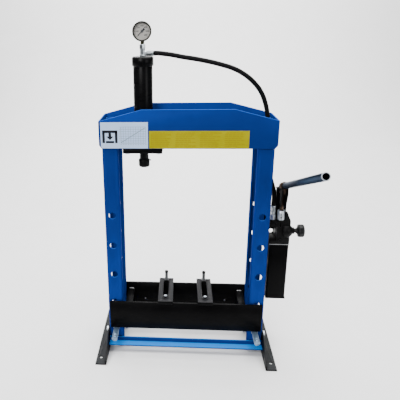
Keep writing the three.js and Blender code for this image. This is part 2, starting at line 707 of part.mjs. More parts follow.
// ---- hose from the cylinder's tee, down inside the right upright, to the pump ----
const hoseRoute = [
  [-123.6, 0, 1193], [-106, 0, 1192.6], [-62, 0, 1187], [-22, 0, 1179], [24, 0, 1171.5], [69, 0, 1162.5],
  [114, 0, 1151.5], [160, 1, 1137], [201, 2, 1115.5], [238, 3, 1085], [263, 4, 1053.5], [280, 4, 1017],
  [289, 4, 985], [294, 4, 950], [296, 4, 905], [296, 3, 860], [297, -1, 815], [301.5, -8, 776], [310.5, -15, 745],
  [321, -20, 714], [329, -23, 684], [332, -24, 656], [332, -24, 627.4],
].map((point) => new THREE.Vector3(...point));
add("hydraulic_hose", new THREE.ExtrudeGeometry(roundSection(HOSE_RADIUS, 10), {
  steps: 52,
  extrudePath: new THREE.CatmullRomCurve3(hoseRoute, false, "centripetal"),
}), RUBBER);

// ---- pump: bracket, tank, body, barrel and fittings ----
const bracketPlan = outline([
  [FOOT_INNER, PUMP_BACK + GAP],
  [TANK_RIGHT, PUMP_BACK + GAP],
  [TANK_RIGHT, BRACKET_BACK],
  [FOOT_INNER + BRACKET_WALL, BRACKET_BACK],
  [FOOT_INNER + BRACKET_WALL, UPRIGHT_FRONT - 1],
  [FOOT_INNER, UPRIGHT_FRONT - 1],
]);
add("pump_bracket", cut(
  uprightPrism(bracketPlan, TANK_TOP - 7, BODY_TOP),
  bar("y", BRACKET_HOLE_RADIUS, PUMP_BACK - 5, BRACKET_BACK + 5, [BRACKET_HOLE_X, BRACKET_HOLE_Z]),
), BLACK);

function roundedPlan(left, right, front, back, corner) {
  const shape = new THREE.Shape();
  shape.absarc(left + corner, front + corner, corner, Math.PI, 1.5 * Math.PI, false);
  shape.absarc(right - corner, front + corner, corner, 1.5 * Math.PI, 2 * Math.PI, false);
  shape.absarc(right - corner, back - corner, corner, 0, Math.PI / 2, false);
  shape.absarc(left + corner, back - corner, corner, Math.PI / 2, Math.PI, false);
  return shape;
}

add("oil_tank", cut(
  uprightPrism(roundedPlan(TANK_LEFT, TANK_RIGHT, TANK_FRONT, PUMP_BACK, TANK_CORNER), TANK_BOTTOM, TANK_TOP, 4),
  box(
    [TANK_LEFT + TANK_WALL, TANK_RIGHT - TANK_WALL],
    [TANK_FRONT + TANK_WALL, PUMP_BACK - TANK_WALL],
    [TANK_BOTTOM + TANK_WALL, TANK_TOP - TANK_WALL],
  ),
  bar("z", FILLER_RADIUS, TANK_TOP - 10, TANK_TOP + 5, [FILLER_X, FILLER_Y], 24),
), BLACK);

const capSeat = BODY_TOP + GAP;
add("tank_filler_cap", joined(
  bar("z", FILLER_RADIUS - GAP, capSeat - 9, capSeat + 1, [FILLER_X, FILLER_Y], 24),
  bar("z", FILLER_RADIUS + 3, capSeat, capSeat + 8, [FILLER_X, FILLER_Y], 24),
), BLACK);

const bodyProfile = outline([
  [BODY_LEFT, TANK_TOP + GAP],
  [TANK_RIGHT, TANK_TOP + GAP],
  [TANK_RIGHT, BODY_TOP],
  [BODY_LEFT, BODY_TOP],
  [BODY_LEFT, BODY_WAIST],
  [BODY_WAIST_LEFT, BODY_WAIST],
  [BODY_WAIST_LEFT, BODY_WAIST_BOTTOM],
  [BODY_LEFT, BODY_WAIST_BOTTOM],
]);
const shoulder = outline([
  [TANK_RIGHT - 21, BODY_TOP - 5],
  [TANK_RIGHT, BODY_TOP - 5],
  [TANK_RIGHT, BODY_TOP + 2],
  [TANK_RIGHT - 15, BODY_TOP + 37],
  [TANK_RIGHT - 21, BODY_TOP + 37],
]);
const valveMouth = TANK_RIGHT + 18;
const valveBoss = turned([
  [0, TANK_RIGHT - 26],
  [26, TANK_RIGHT - 26],
  [28, TANK_RIGHT - 22],
  [28, TANK_RIGHT - 4],
  [20, TANK_RIGHT + 5],
  [10, TANK_RIGHT + 13],
  [9, valveMouth],
  [0, valveMouth],
], 36).rotateY(Math.PI / 2).translate(0, VALVE_Y, VALVE_Z);
add("pump_body", cut(
  joined(
    frontPrism(bodyProfile, BODY_FRONT, PUMP_BACK),
    frontPrism(shoulder, BODY_FRONT, YOKE_FRONT + PIVOT_Y - 2),
    valveBoss,
  ),
  bar("x", 5.5, TANK_RIGHT - 20, valveMouth + 5, [VALVE_Y, VALVE_Z], 24),
  bar("z", FILLER_RADIUS, TANK_TOP - 5, BODY_TOP + 5, [FILLER_X, FILLER_Y], 24),
  bar("z", PLUNGER_RADIUS + GAP, BODY_TOP - 25, BODY_TOP + 5, [PUMP_X, PLUNGER_Y], 24),
), BLACK);

add("pump_barrel", ring([
  [PLUNGER_RADIUS + GAP, BODY_TOP + GAP],
  [BARREL_RADIUS, BODY_TOP + GAP],
  [BARREL_RADIUS, BARREL_TOP - 2],
  [BARREL_RADIUS - 2, BARREL_TOP],
  [PLUNGER_RADIUS + GAP, BARREL_TOP],
], 32).translate(PUMP_X, PLUNGER_Y, 0), ZINC);

add("hose_nut",
  bar("z", hex(20), BODY_TOP + GAP, BODY_TOP + GAP + NUT_HEIGHT, [OUTLET_X, OUTLET_Y], 6), ZINC);
const ferruleFoot = BODY_TOP + NUT_HEIGHT + 2 * GAP;
add("hose_ferrule_pump",
  bar("z", FERRULE_RADIUS, ferruleFoot, ferruleFoot + FERRULE_LENGTH, [OUTLET_X, OUTLET_Y], 24), ZINC);

// ---- lever yoke on the pump body, with its pivot pin ----
const yokeSeat = BODY_TOP + GAP;
function yokeSide(side) {
  const arch = new THREE.Shape();
  arch.moveTo(YOKE_FRONT, yokeSeat - PIVOT_Z);
  arch.lineTo(YOKE_BACK, yokeSeat - PIVOT_Z);
  arch.lineTo(YOKE_BACK, -24);
  arch.lineTo(YOKE_HEAD, 0);
  arch.absarc(0, 0, YOKE_HEAD, 0, Math.PI, false);
  const faces = [side * YOKE_INNER, side * (YOKE_INNER + YOKE_WALL)].sort((a, b) => a - b);
  return sidePrism(arch, ...faces);
}
const yoke = new THREE.Group();
yoke.position.set(PUMP_X, PIVOT_Y, PIVOT_Z);
press.add(yoke);
const yokeBase = box(
  [-YOKE_INNER - 1, YOKE_INNER + 1],
  [-8, YOKE_BACK],
  [yokeSeat - PIVOT_Z, yokeSeat - PIVOT_Z + 8],
);
const yokeWeb = box([-YOKE_INNER - 1, YOKE_INNER + 1], [YOKE_BACK - 6, YOKE_BACK], [yokeSeat - PIVOT_Z, -24]);
const pivotRadius = 6;
add("lever_yoke", cut(
  joined(yokeSide(-1), yokeSide(1), yokeBase, yokeWeb),
  bar("x", pivotRadius + GAP, -YOKE_INNER - 15, YOKE_INNER + 15, [0, 0], 24),
), BLACK, yoke);
const pinEnd = YOKE_INNER + YOKE_WALL + 3;
add("lever_pivot_pin", bar("x", pivotRadius, -pinEnd, pinEnd, [0, 0], 24), ZINC, yoke);

// ---- plunger with its cross pin ----
const crossPinHalf = YOKE_INNER - 2 * GAP;
add("pump_plunger", joined(
  bar("z", PLUNGER_RADIUS, BODY_TOP + 2 * GAP, PIVOT_Z + 8, [0, 0], 24),
  bar("x", CROSS_PIN_RADIUS, -crossPinHalf, crossPinHalf, [0, PIVOT_Z], 24),
).translate(PUMP_X, PLUNGER_Y, 0), DARK_STEEL);

// ---- lever: two slotted cheeks, a socket and the handle tube ----
function cheekOutline() {
  const shape = new THREE.Shape();
  shape.moveTo(-58, -15);
  shape.lineTo(-47, -50);
  shape.lineTo(-27, -58);
  shape.lineTo(-14, -16);
  shape.lineTo(0, -13);
  shape.absarc(0, 0, 13, -Math.PI / 2, Math.PI / 2, false);
  shape.lineTo(-44, 26);
  shape.lineTo(-62, 34);
  shape.lineTo(-66, 4);
  return shape;
}

function cheekSlot() {
  const half = CROSS_PIN_RADIUS + 1.4;
  const shape = new THREE.Shape();
  shape.absarc(-PLUNGER_ARM, 0, half, -Math.PI / 2, Math.PI / 2, false);
  shape.absarc(-PLUNGER_ARM - 8, 0, half, Math.PI / 2, 1.5 * Math.PI, false);
  return shape;
}

const lever = new THREE.Group();
lever.position.copy(yoke.position);
press.add(lever);
const tilt = THREE.MathUtils.degToRad(-HANDLE_TILT);
const alongHandle = (geometry) => geometry.translate(0, 0, HANDLE_RISE).rotateX(tilt);
const cheeks = [-1, 1].map((side) => {
  const faces = [side * CHEEK_INNER, side * (CHEEK_INNER + CHEEK_WALL)].sort((a, b) => a - b);
  return sidePrism(cheekOutline(), ...faces, 10);
});
const socket = alongHandle(bar("y", SOCKET_RADIUS, -SOCKET_NEAR, -SOCKET_FAR, [0, 0], 36));
const socketBore = alongHandle(bar("y", HANDLE_RADIUS + GAP, -SOCKET_NEAR - 40, -HANDLE_FAR + GAP, [0, 0], 36));
const slots = sidePrism(cheekSlot(), -30, 30, 10);
const postRoom = sidePrism(cheekOutline(), -CHEEK_INNER, CHEEK_INNER, 10);
const pivotHole = bar("x", pivotRadius + GAP, -30, 30, [0, 0], 24);
add("lever_fork", cut(joined(...cheeks, socket), postRoom, socketBore, slots, pivotHole), BLACK, lever);
const handleSides = 36;
add("handle_tube", alongHandle(cut(
  bar("y", HANDLE_RADIUS, -HANDLE_NEAR, -HANDLE_FAR, [0, 0], handleSides),
  bar("y", HANDLE_BORE, -HANDLE_NEAR - 5, -HANDLE_FAR + 5, [0, 0], handleSides),
)), STEEL, lever);

// ---- release valve ----
const stemBack = TANK_RIGHT - 18 - KNOB_LEFT;
add("release_valve", turned([
  [0, stemBack],
  [STEM_RADIUS, stemBack],
  [STEM_RADIUS, valveMouth + 1 - KNOB_LEFT],
  [STEM_COLLAR_RADIUS, valveMouth + 1 - KNOB_LEFT],
  [STEM_COLLAR_RADIUS, 0],
  [12, 0],
  [13, 5],
  [KNOB_RADIUS - 2, 7],
  [KNOB_RADIUS, 10],
  [KNOB_RADIUS, KNOB_WIDTH - 4],
  [KNOB_RADIUS - 5, KNOB_WIDTH],
  [0, KNOB_WIDTH],
], 36).rotateY(Math.PI / 2).translate(KNOB_LEFT, VALVE_Y, VALVE_Z), BLACK);

export default press;
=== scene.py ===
"""Looks for a workshop press: a blue two-plate head on two uprights, a sliding cylinder with a gauge,
a black bed on two pins, and a lever pump with an oil tank on the right. Metres, in the CAD frame."""
import math

import bmesh
import bpy
from mathutils import Matrix, Vector, noise


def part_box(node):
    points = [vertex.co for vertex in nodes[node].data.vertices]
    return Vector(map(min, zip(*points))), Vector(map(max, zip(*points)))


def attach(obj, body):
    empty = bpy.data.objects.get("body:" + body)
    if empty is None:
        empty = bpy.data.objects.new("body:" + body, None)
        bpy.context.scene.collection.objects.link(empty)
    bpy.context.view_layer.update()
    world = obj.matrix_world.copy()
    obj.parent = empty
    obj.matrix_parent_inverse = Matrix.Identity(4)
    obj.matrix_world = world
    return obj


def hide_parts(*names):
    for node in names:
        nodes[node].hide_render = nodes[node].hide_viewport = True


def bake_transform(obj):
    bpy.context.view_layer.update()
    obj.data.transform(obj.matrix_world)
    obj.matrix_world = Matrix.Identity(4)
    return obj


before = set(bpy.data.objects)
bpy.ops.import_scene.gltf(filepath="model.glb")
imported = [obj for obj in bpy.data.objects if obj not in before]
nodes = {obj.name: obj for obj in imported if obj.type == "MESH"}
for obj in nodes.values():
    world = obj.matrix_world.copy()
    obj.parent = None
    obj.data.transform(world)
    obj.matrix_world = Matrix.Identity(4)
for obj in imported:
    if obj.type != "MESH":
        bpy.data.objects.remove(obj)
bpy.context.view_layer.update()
scene = bpy.context.scene


# ---- camera ----
CAMERA_AT = Vector((0.30903, -1.75202, 1.29144))
CAMERA_AHEAD = Vector((-0.081311, 0.943451, -0.321386))
CAMERA_UP = Vector((-0.008202, 0.321810, 0.946769))

camera_data = bpy.data.cameras.new("camera")
camera_data.sensor_width = 36.0
camera_data.lens = 44.035
camera_data.shift_x = 0.15105
camera_data.shift_y = -0.02389
camera_data.clip_start = 0.05
camera_data.clip_end = 50.0
camera = bpy.data.objects.new("camera", camera_data)
scene.collection.objects.link(camera)
back = -CAMERA_AHEAD.normalized()
right = CAMERA_UP.cross(back).normalized()
up = back.cross(right)
camera.matrix_world = Matrix.Translation(CAMERA_AT) @ Matrix((right, up, back)).transposed().to_4x4()
scene.camera = camera


# ---- small helpers ----
def centre_of(node):
    low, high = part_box(node)
    return (low + high) / 2


def mesh_from(name, points, faces):
    mesh = bpy.data.meshes.new(name)
    mesh.from_pydata([tuple(p) for p in points], [], faces)
    mesh.update()
    return mesh


def merge_meshes(name, meshes):
    """One mesh holding several."""
    bm = bmesh.new()
    for mesh in meshes:
        bm.from_mesh(mesh)
    merged = bpy.data.meshes.new(name)
    bm.to_mesh(merged)
    bm.free()
    return merged


def frame_for(axis):
    """Two unit vectors square to an axis."""
    axis = Vector(axis).normalized()
    helper = Vector((0, 0, 1)) if abs(axis.z) < 0.9 else Vector((1, 0, 0))
    across = axis.cross(helper).normalized()
    return across, axis.cross(across).normalized()


def revolve(name, profile, base, axis, sides=48, lobes=0, lobe_depth=0.0, lobe_from=1.0):
    """A closed turned shape. The profile is [(radius, height)] from the axis back to the axis."""
    axis = Vector(axis).normalized()
    base = Vector(base)
    across, along = frame_for(axis)
    points, rings = [], []
    for radius, height in profile:
        if radius < 1e-7:
            rings.append([len(points)])
            points.append(base + axis * height)
            continue
        ring = []
        for i in range(sides):
            angle = 2 * math.pi * i / sides
            dip = lobe_depth * (0.5 - 0.5 * math.cos(lobes * angle)) if radius >= lobe_from else 0.0
            spoke = across * math.cos(angle) + along * math.sin(angle)
            ring.append(len(points))
            points.append(base + axis * height + spoke * (radius - dip))
        rings.append(ring)
    faces = []
    for low, high in zip(rings, rings[1:]):
        for i in range(sides):
            j = (i + 1) % sides
            if len(low) == 1 and len(high) == 1:
                continue
            if len(low) == 1:
                faces.append((low[0], high[j], high[i]))
            elif len(high) == 1:
                faces.append((low[i], low[j], high[0]))
            else:
                faces.append((low[i], low[j], high[j], high[i]))
    mesh = mesh_from(name, points, faces)
    bm = bmesh.new()
    bm.from_mesh(mesh)
    bmesh.ops.remove_doubles(bm, verts=bm.verts, dist=1e-7)
    bmesh.ops.recalc_face_normals(bm, faces=bm.faces)
    bm.to_mesh(mesh)
    bm.free()
    return mesh


def sweep(name, path, radius_at, sides=16):
    """A closed tube along points; radius_at(i) gives the radius at point i."""
    count = len(path)
    tangents = [(path[min(i + 1, count - 1)] - path[max(i - 1, 0)]).normalized() for i in range(count)]
    normal, _ = frame_for(tangents[0])
    points, faces = [], []
    for i in range(count):
        normal = (normal - tangents[i] * normal.dot(tangents[i])).normalized()
        other = tangents[i].cross(normal)
        for k in range(sides):
            angle = 2 * math.pi * k / sides
            offset = normal * math.cos(angle) + other * math.sin(angle)
            points.append(path[i] + offset * radius_at(i))
    for i in range(count - 1):
        for k in range(sides):
            j = (k + 1) % sides
            a, b = i * sides, (i + 1) * sides
            faces.append((a + k, a + j, b + j, b + k))
    faces.append(tuple(reversed(range(sides))))
    faces.append(tuple(range((count - 1) * sides, count * sides)))
    return mesh_from(name, points, faces)


def block_mesh(name, low, high, bevel, segments=2):
    """A box with rounded edges."""
    bm = bmesh.new()
    bmesh.ops.create_cube(bm, size=1.0)
    size = Vector(high) - Vector(low)
    middle = (Vector(high) + Vector(low)) / 2
    for vertex in bm.verts:
        vertex.co = Vector((vertex.co[i] * size[i] + middle[i] for i in range(3)))
    bmesh.ops.bevel(bm, geom=bm.edges[:], offset=bevel, segments=segments, profile=0.5, affect="EDGES")
    mesh = bpy.data.meshes.new(name)
    bm.to_mesh(mesh)
    bm.free()
    return mesh


def smooth_path(points, per_span):
    """A centripetal Catmull-Rom curve through the points."""
    points = [Vector(p) for p in points]
    ends = [points[0] * 2 - points[1]] + points + [points[-1] * 2 - points[-2]]
    path = []
    for a, b, c, d in zip(ends, ends[1:], ends[2:], ends[3:]):
        t0 = 0.0
        t1 = t0 + (b - a).length ** 0.5
        t2 = t1 + (c - b).length ** 0.5
        t3 = t2 + (d - c).length ** 0.5
        for step in range(per_span):
            t = t1 + (t2 - t1) * step / per_span
            p = (a * (t1 - t) + b * (t - t0)) / (t1 - t0)
            q = (b * (t2 - t) + c * (t - t1)) / (t2 - t1)
            r = (c * (t3 - t) + d * (t - t2)) / (t3 - t2)
            p = (p * (t2 - t) + q * (t - t0)) / (t2 - t0)
            q = (q * (t3 - t) + r * (t - t1)) / (t3 - t1)
            path.append((p * (t2 - t) + q * (t - t1)) / (t2 - t1))
    path.append(points[-1])
    return path


# ---- materials ----
DUST_COLOR = (0.32, 0.31, 0.29)


def finish(name, color, rough, metal=0.0, specular=0.5, tint=0.06, tint_scale=6.0, rough_spread=0.08,
           grain=0.05, grain_scale=900.0, dent=0.0, dent_scale=40.0, edge_wear_and_highlight=None, edge_amount=0.5,
           edge_radius=0.0012, streak=None, dust=0.0, glint=(1.0, 1.0, 1.0), top=None):
    """A node material: large soft colour drift, roughness drift, fine grain and slow dents in the bump,
    a lighter line along edges that is partly rubbed paint and partly a painted highlight, a painted top
    light (a second colour on faces that look up, standing in for the light from above) and dust on faces
    that look up."""
    material = bpy.data.materials.new(name)
    material.use_nodes = True
    tree = material.node_tree
    tree.nodes.clear()
    new, link = tree.nodes.new, tree.links.new
    output = new("ShaderNodeOutputMaterial")
    shader = new("ShaderNodeBsdfPrincipled")
    link(shader.outputs["BSDF"], output.inputs["Surface"])
    shader.inputs["Metallic"].default_value = metal
    shader.inputs["Specular IOR Level"].default_value = specular
    shader.inputs["Specular Tint"].default_value = (*glint, 1.0)
    where = new("ShaderNodeTexCoord").outputs["Object"]
    if streak is not None:
        mapping = new("ShaderNodeMapping")
        mapping.inputs["Scale"].default_value = streak
        link(where, mapping.inputs["Vector"])
        where_grain = mapping.outputs["Vector"]
    else:
        where_grain = where

    def cloud(vector, scale, detail=4.0, roughness=0.55):
        node = new("ShaderNodeTexNoise")
        node.inputs["Scale"].default_value = scale
        node.inputs["Detail"].default_value = detail
        node.inputs["Roughness"].default_value = roughness
        link(vector, node.inputs["Vector"])
        return node.outputs["Fac"]

    def remap(value, low, high, start=0.3, stop=0.7):
        node = new("ShaderNodeMapRange")
        node.inputs["From Min"].default_value = start
        node.inputs["From Max"].default_value = stop
        node.inputs["To Min"].default_value = low
        node.inputs["To Max"].default_value = high
        link(value, node.inputs["Value"])
        return node.outputs["Result"]

    def mixed(factor, first, second, blend="MIX"):
        node = new("ShaderNodeMix")
        node.data_type = "RGBA"
        node.blend_type = blend
        if isinstance(factor, float):
            node.inputs[0].default_value = factor
        else:
            link(factor, node.inputs[0])
        for socket, value in ((node.inputs[6], first), (node.inputs[7], second)):
            if isinstance(value, tuple):
                socket.default_value = (*value, 1.0)
            else:
                link(value, socket)
        return node.outputs[2]

    dark = tuple(c * (1 - tint) for c in color)
    light = tuple(min(1.0, c * (1 + tint)) for c in color)
    shade = mixed(remap(cloud(where, tint_scale), 0.0, 1.0), dark, light)
    facing = new("ShaderNodeNewGeometry")
    split = new("ShaderNodeSeparateXYZ")
    link(facing.outputs["Normal"], split.inputs[0])
    # painted top light: the top colour is mixed onto faces that look up, lighter where the light from above
    # falls
    if top is not None:
        shade = mixed(remap(split.outputs["Z"], 0.0, 1.0, 0.3, 0.9), shade, top)
    grain_value = cloud(where_grain, grain_scale, 2.0)
    roughness = remap(cloud(where, tint_scale * 5, 5.0), rough - rough_spread, rough + rough_spread)
    # the edge colour is partly rubbed paint and partly a painted highlight, standing in for light caught by
    # rounded edges
    if edge_wear_and_highlight is not None:
        bevel = new("ShaderNodeBevel")
        bevel.samples = 6
        bevel.inputs["Radius"].default_value = edge_radius
        geometry = new("ShaderNodeNewGeometry")
        dot = new("ShaderNodeVectorMath")
        dot.operation = "DOT_PRODUCT"
        link(bevel.outputs["Normal"], dot.inputs[0])
        link(geometry.outputs["Normal"], dot.inputs[1])
        on_edge = remap(dot.outputs["Value"], edge_amount, 0.0, 0.80, 0.985)
        patchy = new("ShaderNodeMath")
        patchy.operation = "MULTIPLY"
        link(on_edge, patchy.inputs[0])
        link(remap(cloud(where, 55.0, 5.0), 0.35, 1.0), patchy.inputs[1])
        shade = mixed(patchy.outputs[0], shade, edge_wear_and_highlight)
    if dust > 0:
        upward = remap(split.outputs["Z"], 0.0, dust, 0.5, 1.0)
        shade = mixed(upward, shade, DUST_COLOR)
    link(shade, shader.inputs["Base Color"])
    link(roughness, shader.inputs["Roughness"])
    bump = new("ShaderNodeBump")
    bump.inputs["Strength"].default_value = grain
    bump.inputs["Distance"].default_value = 0.001
    link(grain_value, bump.inputs["Height"])
    if dent > 0:
        second = new("ShaderNodeBump")
        second.inputs["Strength"].default_value = dent
        second.inputs["Distance"].default_value = 0.002
        link(cloud(where, dent_scale, 2.0), second.inputs["Height"])
        link(bump.outputs["Normal"], second.inputs["Normal"])
        link(second.outputs["Normal"], shader.inputs["Normal"])
    else:
        link(bump.outputs["Normal"], shader.inputs["Normal"])
    return material


# blue paint: its top colour is a painted top light on faces that look up, and its lighter blue edge colour
# is partly wear, partly a painted highlight
BLUE = finish("blue_powder_coat", (0.0062, 0.0285, 0.178), 0.36, metal=0.25, specular=0.0, tint=0.08,
              grain=0.10, grain_scale=1500.0, dent=0.05, dent_scale=120.0, edge_wear_and_highlight=(0.030, 0.150, 0.52),
              edge_amount=0.8, edge_radius=0.0018, dust=0.008, glint=(0.03, 0.10, 0.30),
              top=(0.018, 0.100, 0.42))
# a darker blue for the weld beads under the head and along the base: painted shade, standing in for the
# shadow there
BLUE_SHADE = finish("blue_painted_shade_on_welds", (0.0020, 0.0080, 0.050), 0.45, specular=0.05, tint=0.15,
                    grain=0.15, grain_scale=900.0)
# its top colour is a painted top light: the base's upward faces far lighter than its front faces, as if lit
# from above; the edge colour is partly wear, partly a painted highlight
BLUE_BASE = finish("blue_powder_coat_base", (0.0042, 0.0225, 0.130), 0.28, specular=0.03, tint=0.10,
                   grain=0.08, grain_scale=1500.0, edge_wear_and_highlight=(0.014, 0.12, 0.40), edge_amount=0.6,
                   edge_radius=0.0012, top=(0.0012, 0.1780, 0.600))
BLACK = finish("black_paint", (0.0022, 0.0022, 0.0024), 0.36, specular=0.03, tint=0.25, grain=0.10,
               grain_scale=1100.0, dent=0.05, dent_scale=60.0, edge_wear_and_highlight=(0.045, 0.045, 0.046), edge_amount=0.5,
               edge_radius=0.0012)
# its top colour is a painted top light on faces that look up
BLACK_TUBE = finish("black_paint_turned", (0.0028, 0.0028, 0.0031), 0.30, specular=0.06, tint=0.25,
                    grain=0.06, grain_scale=700.0, streak=(1.0, 1.0, 6.0), edge_wear_and_highlight=(0.030, 0.030, 0.031),
                    edge_amount=0.5, edge_radius=0.0012, top=(0.030, 0.030, 0.031))
CAST_BLACK = finish("black_paint_on_casting", (0.0030, 0.0030, 0.0032), 0.44, specular=0.08, tint=0.3,
                    grain=0.35, grain_scale=420.0, dent=0.25, dent_scale=90.0, edge_wear_and_highlight=(0.030, 0.030, 0.031),
                    edge_amount=0.5, edge_radius=0.0014)
# its top colour is a painted top light on the feet's upward faces
FOOT_GREY = finish("dark_grey_paint", (0.0034, 0.0032, 0.0032), 0.46, specular=0.05, tint=0.2, grain=0.2,
                   grain_scale=700.0, dent=0.1, dent_scale=50.0, edge_wear_and_highlight=(0.085, 0.088, 0.092),
                   edge_amount=0.6, edge_radius=0.0012, dust=0.02, top=(0.0180, 0.0195, 0.0215))
# its top colour is a painted top light on the blocks' upward faces
BLOCK_STEEL = finish("blackened_steel", (0.0030, 0.0030, 0.0032), 0.38, specular=0.03, tint=0.35,
                     grain=0.15, grain_scale=500.0, streak=(1.0, 0.12, 1.0), edge_wear_and_highlight=(0.040, 0.041, 0.043),
                     edge_amount=0.7, edge_radius=0.0014, top=(0.0170, 0.0170, 0.0185))
ZINC = finish("bright_zinc", (0.60, 0.65, 0.69), 0.36, metal=1.0, tint=0.14, tint_scale=30.0,
              rough_spread=0.12, grain=0.08, grain_scale=600.0, edge_wear_and_highlight=(0.80, 0.81, 0.82), edge_amount=0.5,
              edge_radius=0.0008)
PIN_STEEL = finish("bright_pin", (0.165, 0.24, 0.34), 0.36, metal=0.80, specular=0.4, tint=0.12,
                   tint_scale=18.0, rough_spread=0.08, grain=0.10, grain_scale=260.0,
                   streak=(1.0, 0.05, 0.1))
DARK_STEEL = finish("dark_oiled_steel", (0.10, 0.10, 0.105), 0.38, metal=1.0, tint=0.25, tint_scale=30.0,
                    grain=0.12, grain_scale=600.0)
RUBBER = finish("hose_cover", (0.0042, 0.0042, 0.0046), 0.48, specular=0.05, tint=0.2, grain=0.25,
                grain_scale=1400.0)
KNOB = finish("moulded_knob", (0.0046, 0.0046, 0.0052), 0.36, specular=0.16, tint=0.15, grain=0.08,
              grain_scale=1600.0)
WHITE_FILM = finish("white_film", (0.46, 0.60, 0.84), 0.42, specular=0.25, tint=0.03, grain=0.02,
                    grain_scale=800.0)
YELLOW_FILM = finish("yellow_film", (0.330, 0.292, 0.0001), 0.60, specular=0.0, tint=0.10, tint_scale=14.0,
                     grain=0.02, grain_scale=800.0)
INK = finish("black_ink", (0.008, 0.009, 0.014), 0.5, specular=0.2, tint=0.1, grain=0.02)
GREY_INK = finish("grey_ink", (0.17, 0.22, 0.30), 0.5, specular=0.2, tint=0.1, grain=0.02)
FAINT_INK = finish("faint_ink", (0.20, 0.28, 0.42), 0.5, specular=0.2, tint=0.05, grain=0.02)
OCHRE_INK = finish("ochre_ink", (0.24, 0.175, 0.0005), 0.5, specular=0.2, tint=0.1, grain=0.02)
BEZEL = finish("dark_bezel", (0.020, 0.019, 0.016), 0.40, specular=0.15, tint=0.2, tint_scale=30.0,
               grain=0.08, grain_scale=500.0)
FERRULE = finish("zinc_ferrule", (0.40, 0.43, 0.45), 0.34, metal=1.0, tint=0.16, tint_scale=60.0,
                 rough_spread=0.1, grain=0.08, grain_scale=600.0)
BARE_WELD = finish("bare_weld", (0.42, 0.42, 0.42), 0.40, metal=0.6, tint=0.2, tint_scale=80.0, grain=0.2,
                   grain_scale=500.0)
BURNT_WELD = finish("burnt_weld", (0.10, 0.062, 0.040), 0.45, metal=0.7, tint=0.35, tint_scale=90.0,
                    grain=0.25, grain_scale=500.0)
SEAM_ALLOY = finish("seam_gasket", (0.26, 0.265, 0.27), 0.5, metal=0.3, tint=0.1, grain=0.1,
                    grain_scale=600.0)
GREASY = finish("greasy_dark_steel", (0.075, 0.050, 0.036), 0.40, metal=0.9, tint=0.4, tint_scale=45.0,
                grain=0.15, grain_scale=500.0)
STUD = finish("threaded_steel", (0.15, 0.155, 0.16), 0.42, metal=0.8, specular=0.3, tint=0.2,
              tint_scale=60.0, grain=0.1, grain_scale=500.0)
BRASS = finish("dark_brass", (0.060, 0.058, 0.030), 0.40, metal=0.6, specular=0.3, tint=0.2,
               tint_scale=60.0)
CUT_STEEL = finish("bright_cut_end", (0.34, 0.38, 0.42), 0.40, metal=0.2, specular=0.3, tint=0.12,
                   tint_scale=120.0, grain=0.15, grain_scale=600.0)
DIAL = finish("dial_face", (0.39, 0.365, 0.335), 0.45, specular=0.3, tint=0.04, grain=0.02)


def glass_material():
    material = bpy.data.materials.new("clear_window")
    material.use_nodes = True
    tree = material.node_tree
    shader = tree.nodes["Principled BSDF"]
    shader.inputs["Base Color"].default_value = (0.9, 0.93, 0.94, 1.0)
    shader.inputs["Metallic"].default_value = 0.0
    shader.inputs["Alpha"].default_value = 0.03
    smears = tree.nodes.new("ShaderNodeTexNoise")
    smears.inputs["Scale"].default_value = 60.0
    span = tree.nodes.new("ShaderNodeMapRange")
    span.inputs["To Min"].default_value = 0.03
    span.inputs["To Max"].default_value = 0.10
    tree.links.new(smears.outputs["Fac"], span.inputs["Value"])
    tree.links.new(span.outputs["Result"], shader.inputs["Roughness"])
    return material


GLASS = glass_material()


HEAT_TINT_LENGTH = 0.16


def handle_material():
    """Drawn steel with a straw and blue heat tint near the welded root."""
    material = finish("drawn_steel_handle", (0.070, 0.082, 0.104), 0.34, metal=1.0, glint=(0.30, 0.33, 0.38),
                      tint=0.16, tint_scale=14.0, rough_spread=0.06, grain=0.06, grain_scale=240.0,
                      streak=(1.0, 0.05, 0.1))
    tree = material.node_tree
    shader = next(n for n in tree.nodes if n.type == "BSDF_PRINCIPLED")
    old = shader.inputs["Base Color"].links[0].from_socket
    coords = tree.nodes.new("ShaderNodeTexCoord")
    split = tree.nodes.new("ShaderNodeSeparateXYZ")
    tree.links.new(coords.outputs["Object"], split.inputs[0])
    wobble = tree.nodes.new("ShaderNodeTexNoise")
    wobble.inputs["Scale"].default_value = 40.0
    tree.links.new(coords.outputs["Object"], wobble.inputs["Vector"])
    shift = tree.nodes.new("ShaderNodeMath")
    shift.operation = "MULTIPLY_ADD"
    shift.inputs[1].default_value = 0.02
    tree.links.new(wobble.outputs["Fac"], shift.inputs[0])
    tree.links.new(split.outputs["Y"], shift.inputs[2])
    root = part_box("handle_tube")[1].y
    ramp = tree.nodes.new("ShaderNodeValToRGB")
    stops = [(0.0, (1, 1, 1, 1)), (0.35, (0.95, 0.98, 1.05, 1)), (0.55, (0.62, 0.72, 0.95, 1)),
             (0.72, (0.62, 0.42, 0.34, 1)), (0.85, (0.42, 0.27, 0.16, 1)), (1.0, (0.22, 0.16, 0.12, 1))]
    ramp.color_ramp.elements[0].position = stops[0][0]
    ramp.color_ramp.elements[0].color = stops[0][1]
    ramp.color_ramp.elements[1].position = stops[-1][0]
    ramp.color_ramp.elements[1].color = stops[-1][1]
    for position, value in stops[1:-1]:
        ramp.color_ramp.elements.new(position).color = value
    span = tree.nodes.new("ShaderNodeMapRange")
    span.inputs["From Min"].default_value = root - HEAT_TINT_LENGTH
    span.inputs["From Max"].default_value = root + 0.005
    tree.links.new(shift.outputs[0], span.inputs["Value"])
    tree.links.new(span.outputs["Result"], ramp.inputs["Fac"])
    blend = tree.nodes.new("ShaderNodeMix")
    blend.data_type = "RGBA"
    blend.blend_type = "MULTIPLY"
    blend.inputs[0].default_value = 1.0
    tree.links.new(old, blend.inputs[6])
    tree.links.new(ramp.outputs["Color"], blend.inputs[7])
    tree.links.new(blend.outputs[2], shader.inputs["Base Color"])
    return material


HANDLE = handle_material()
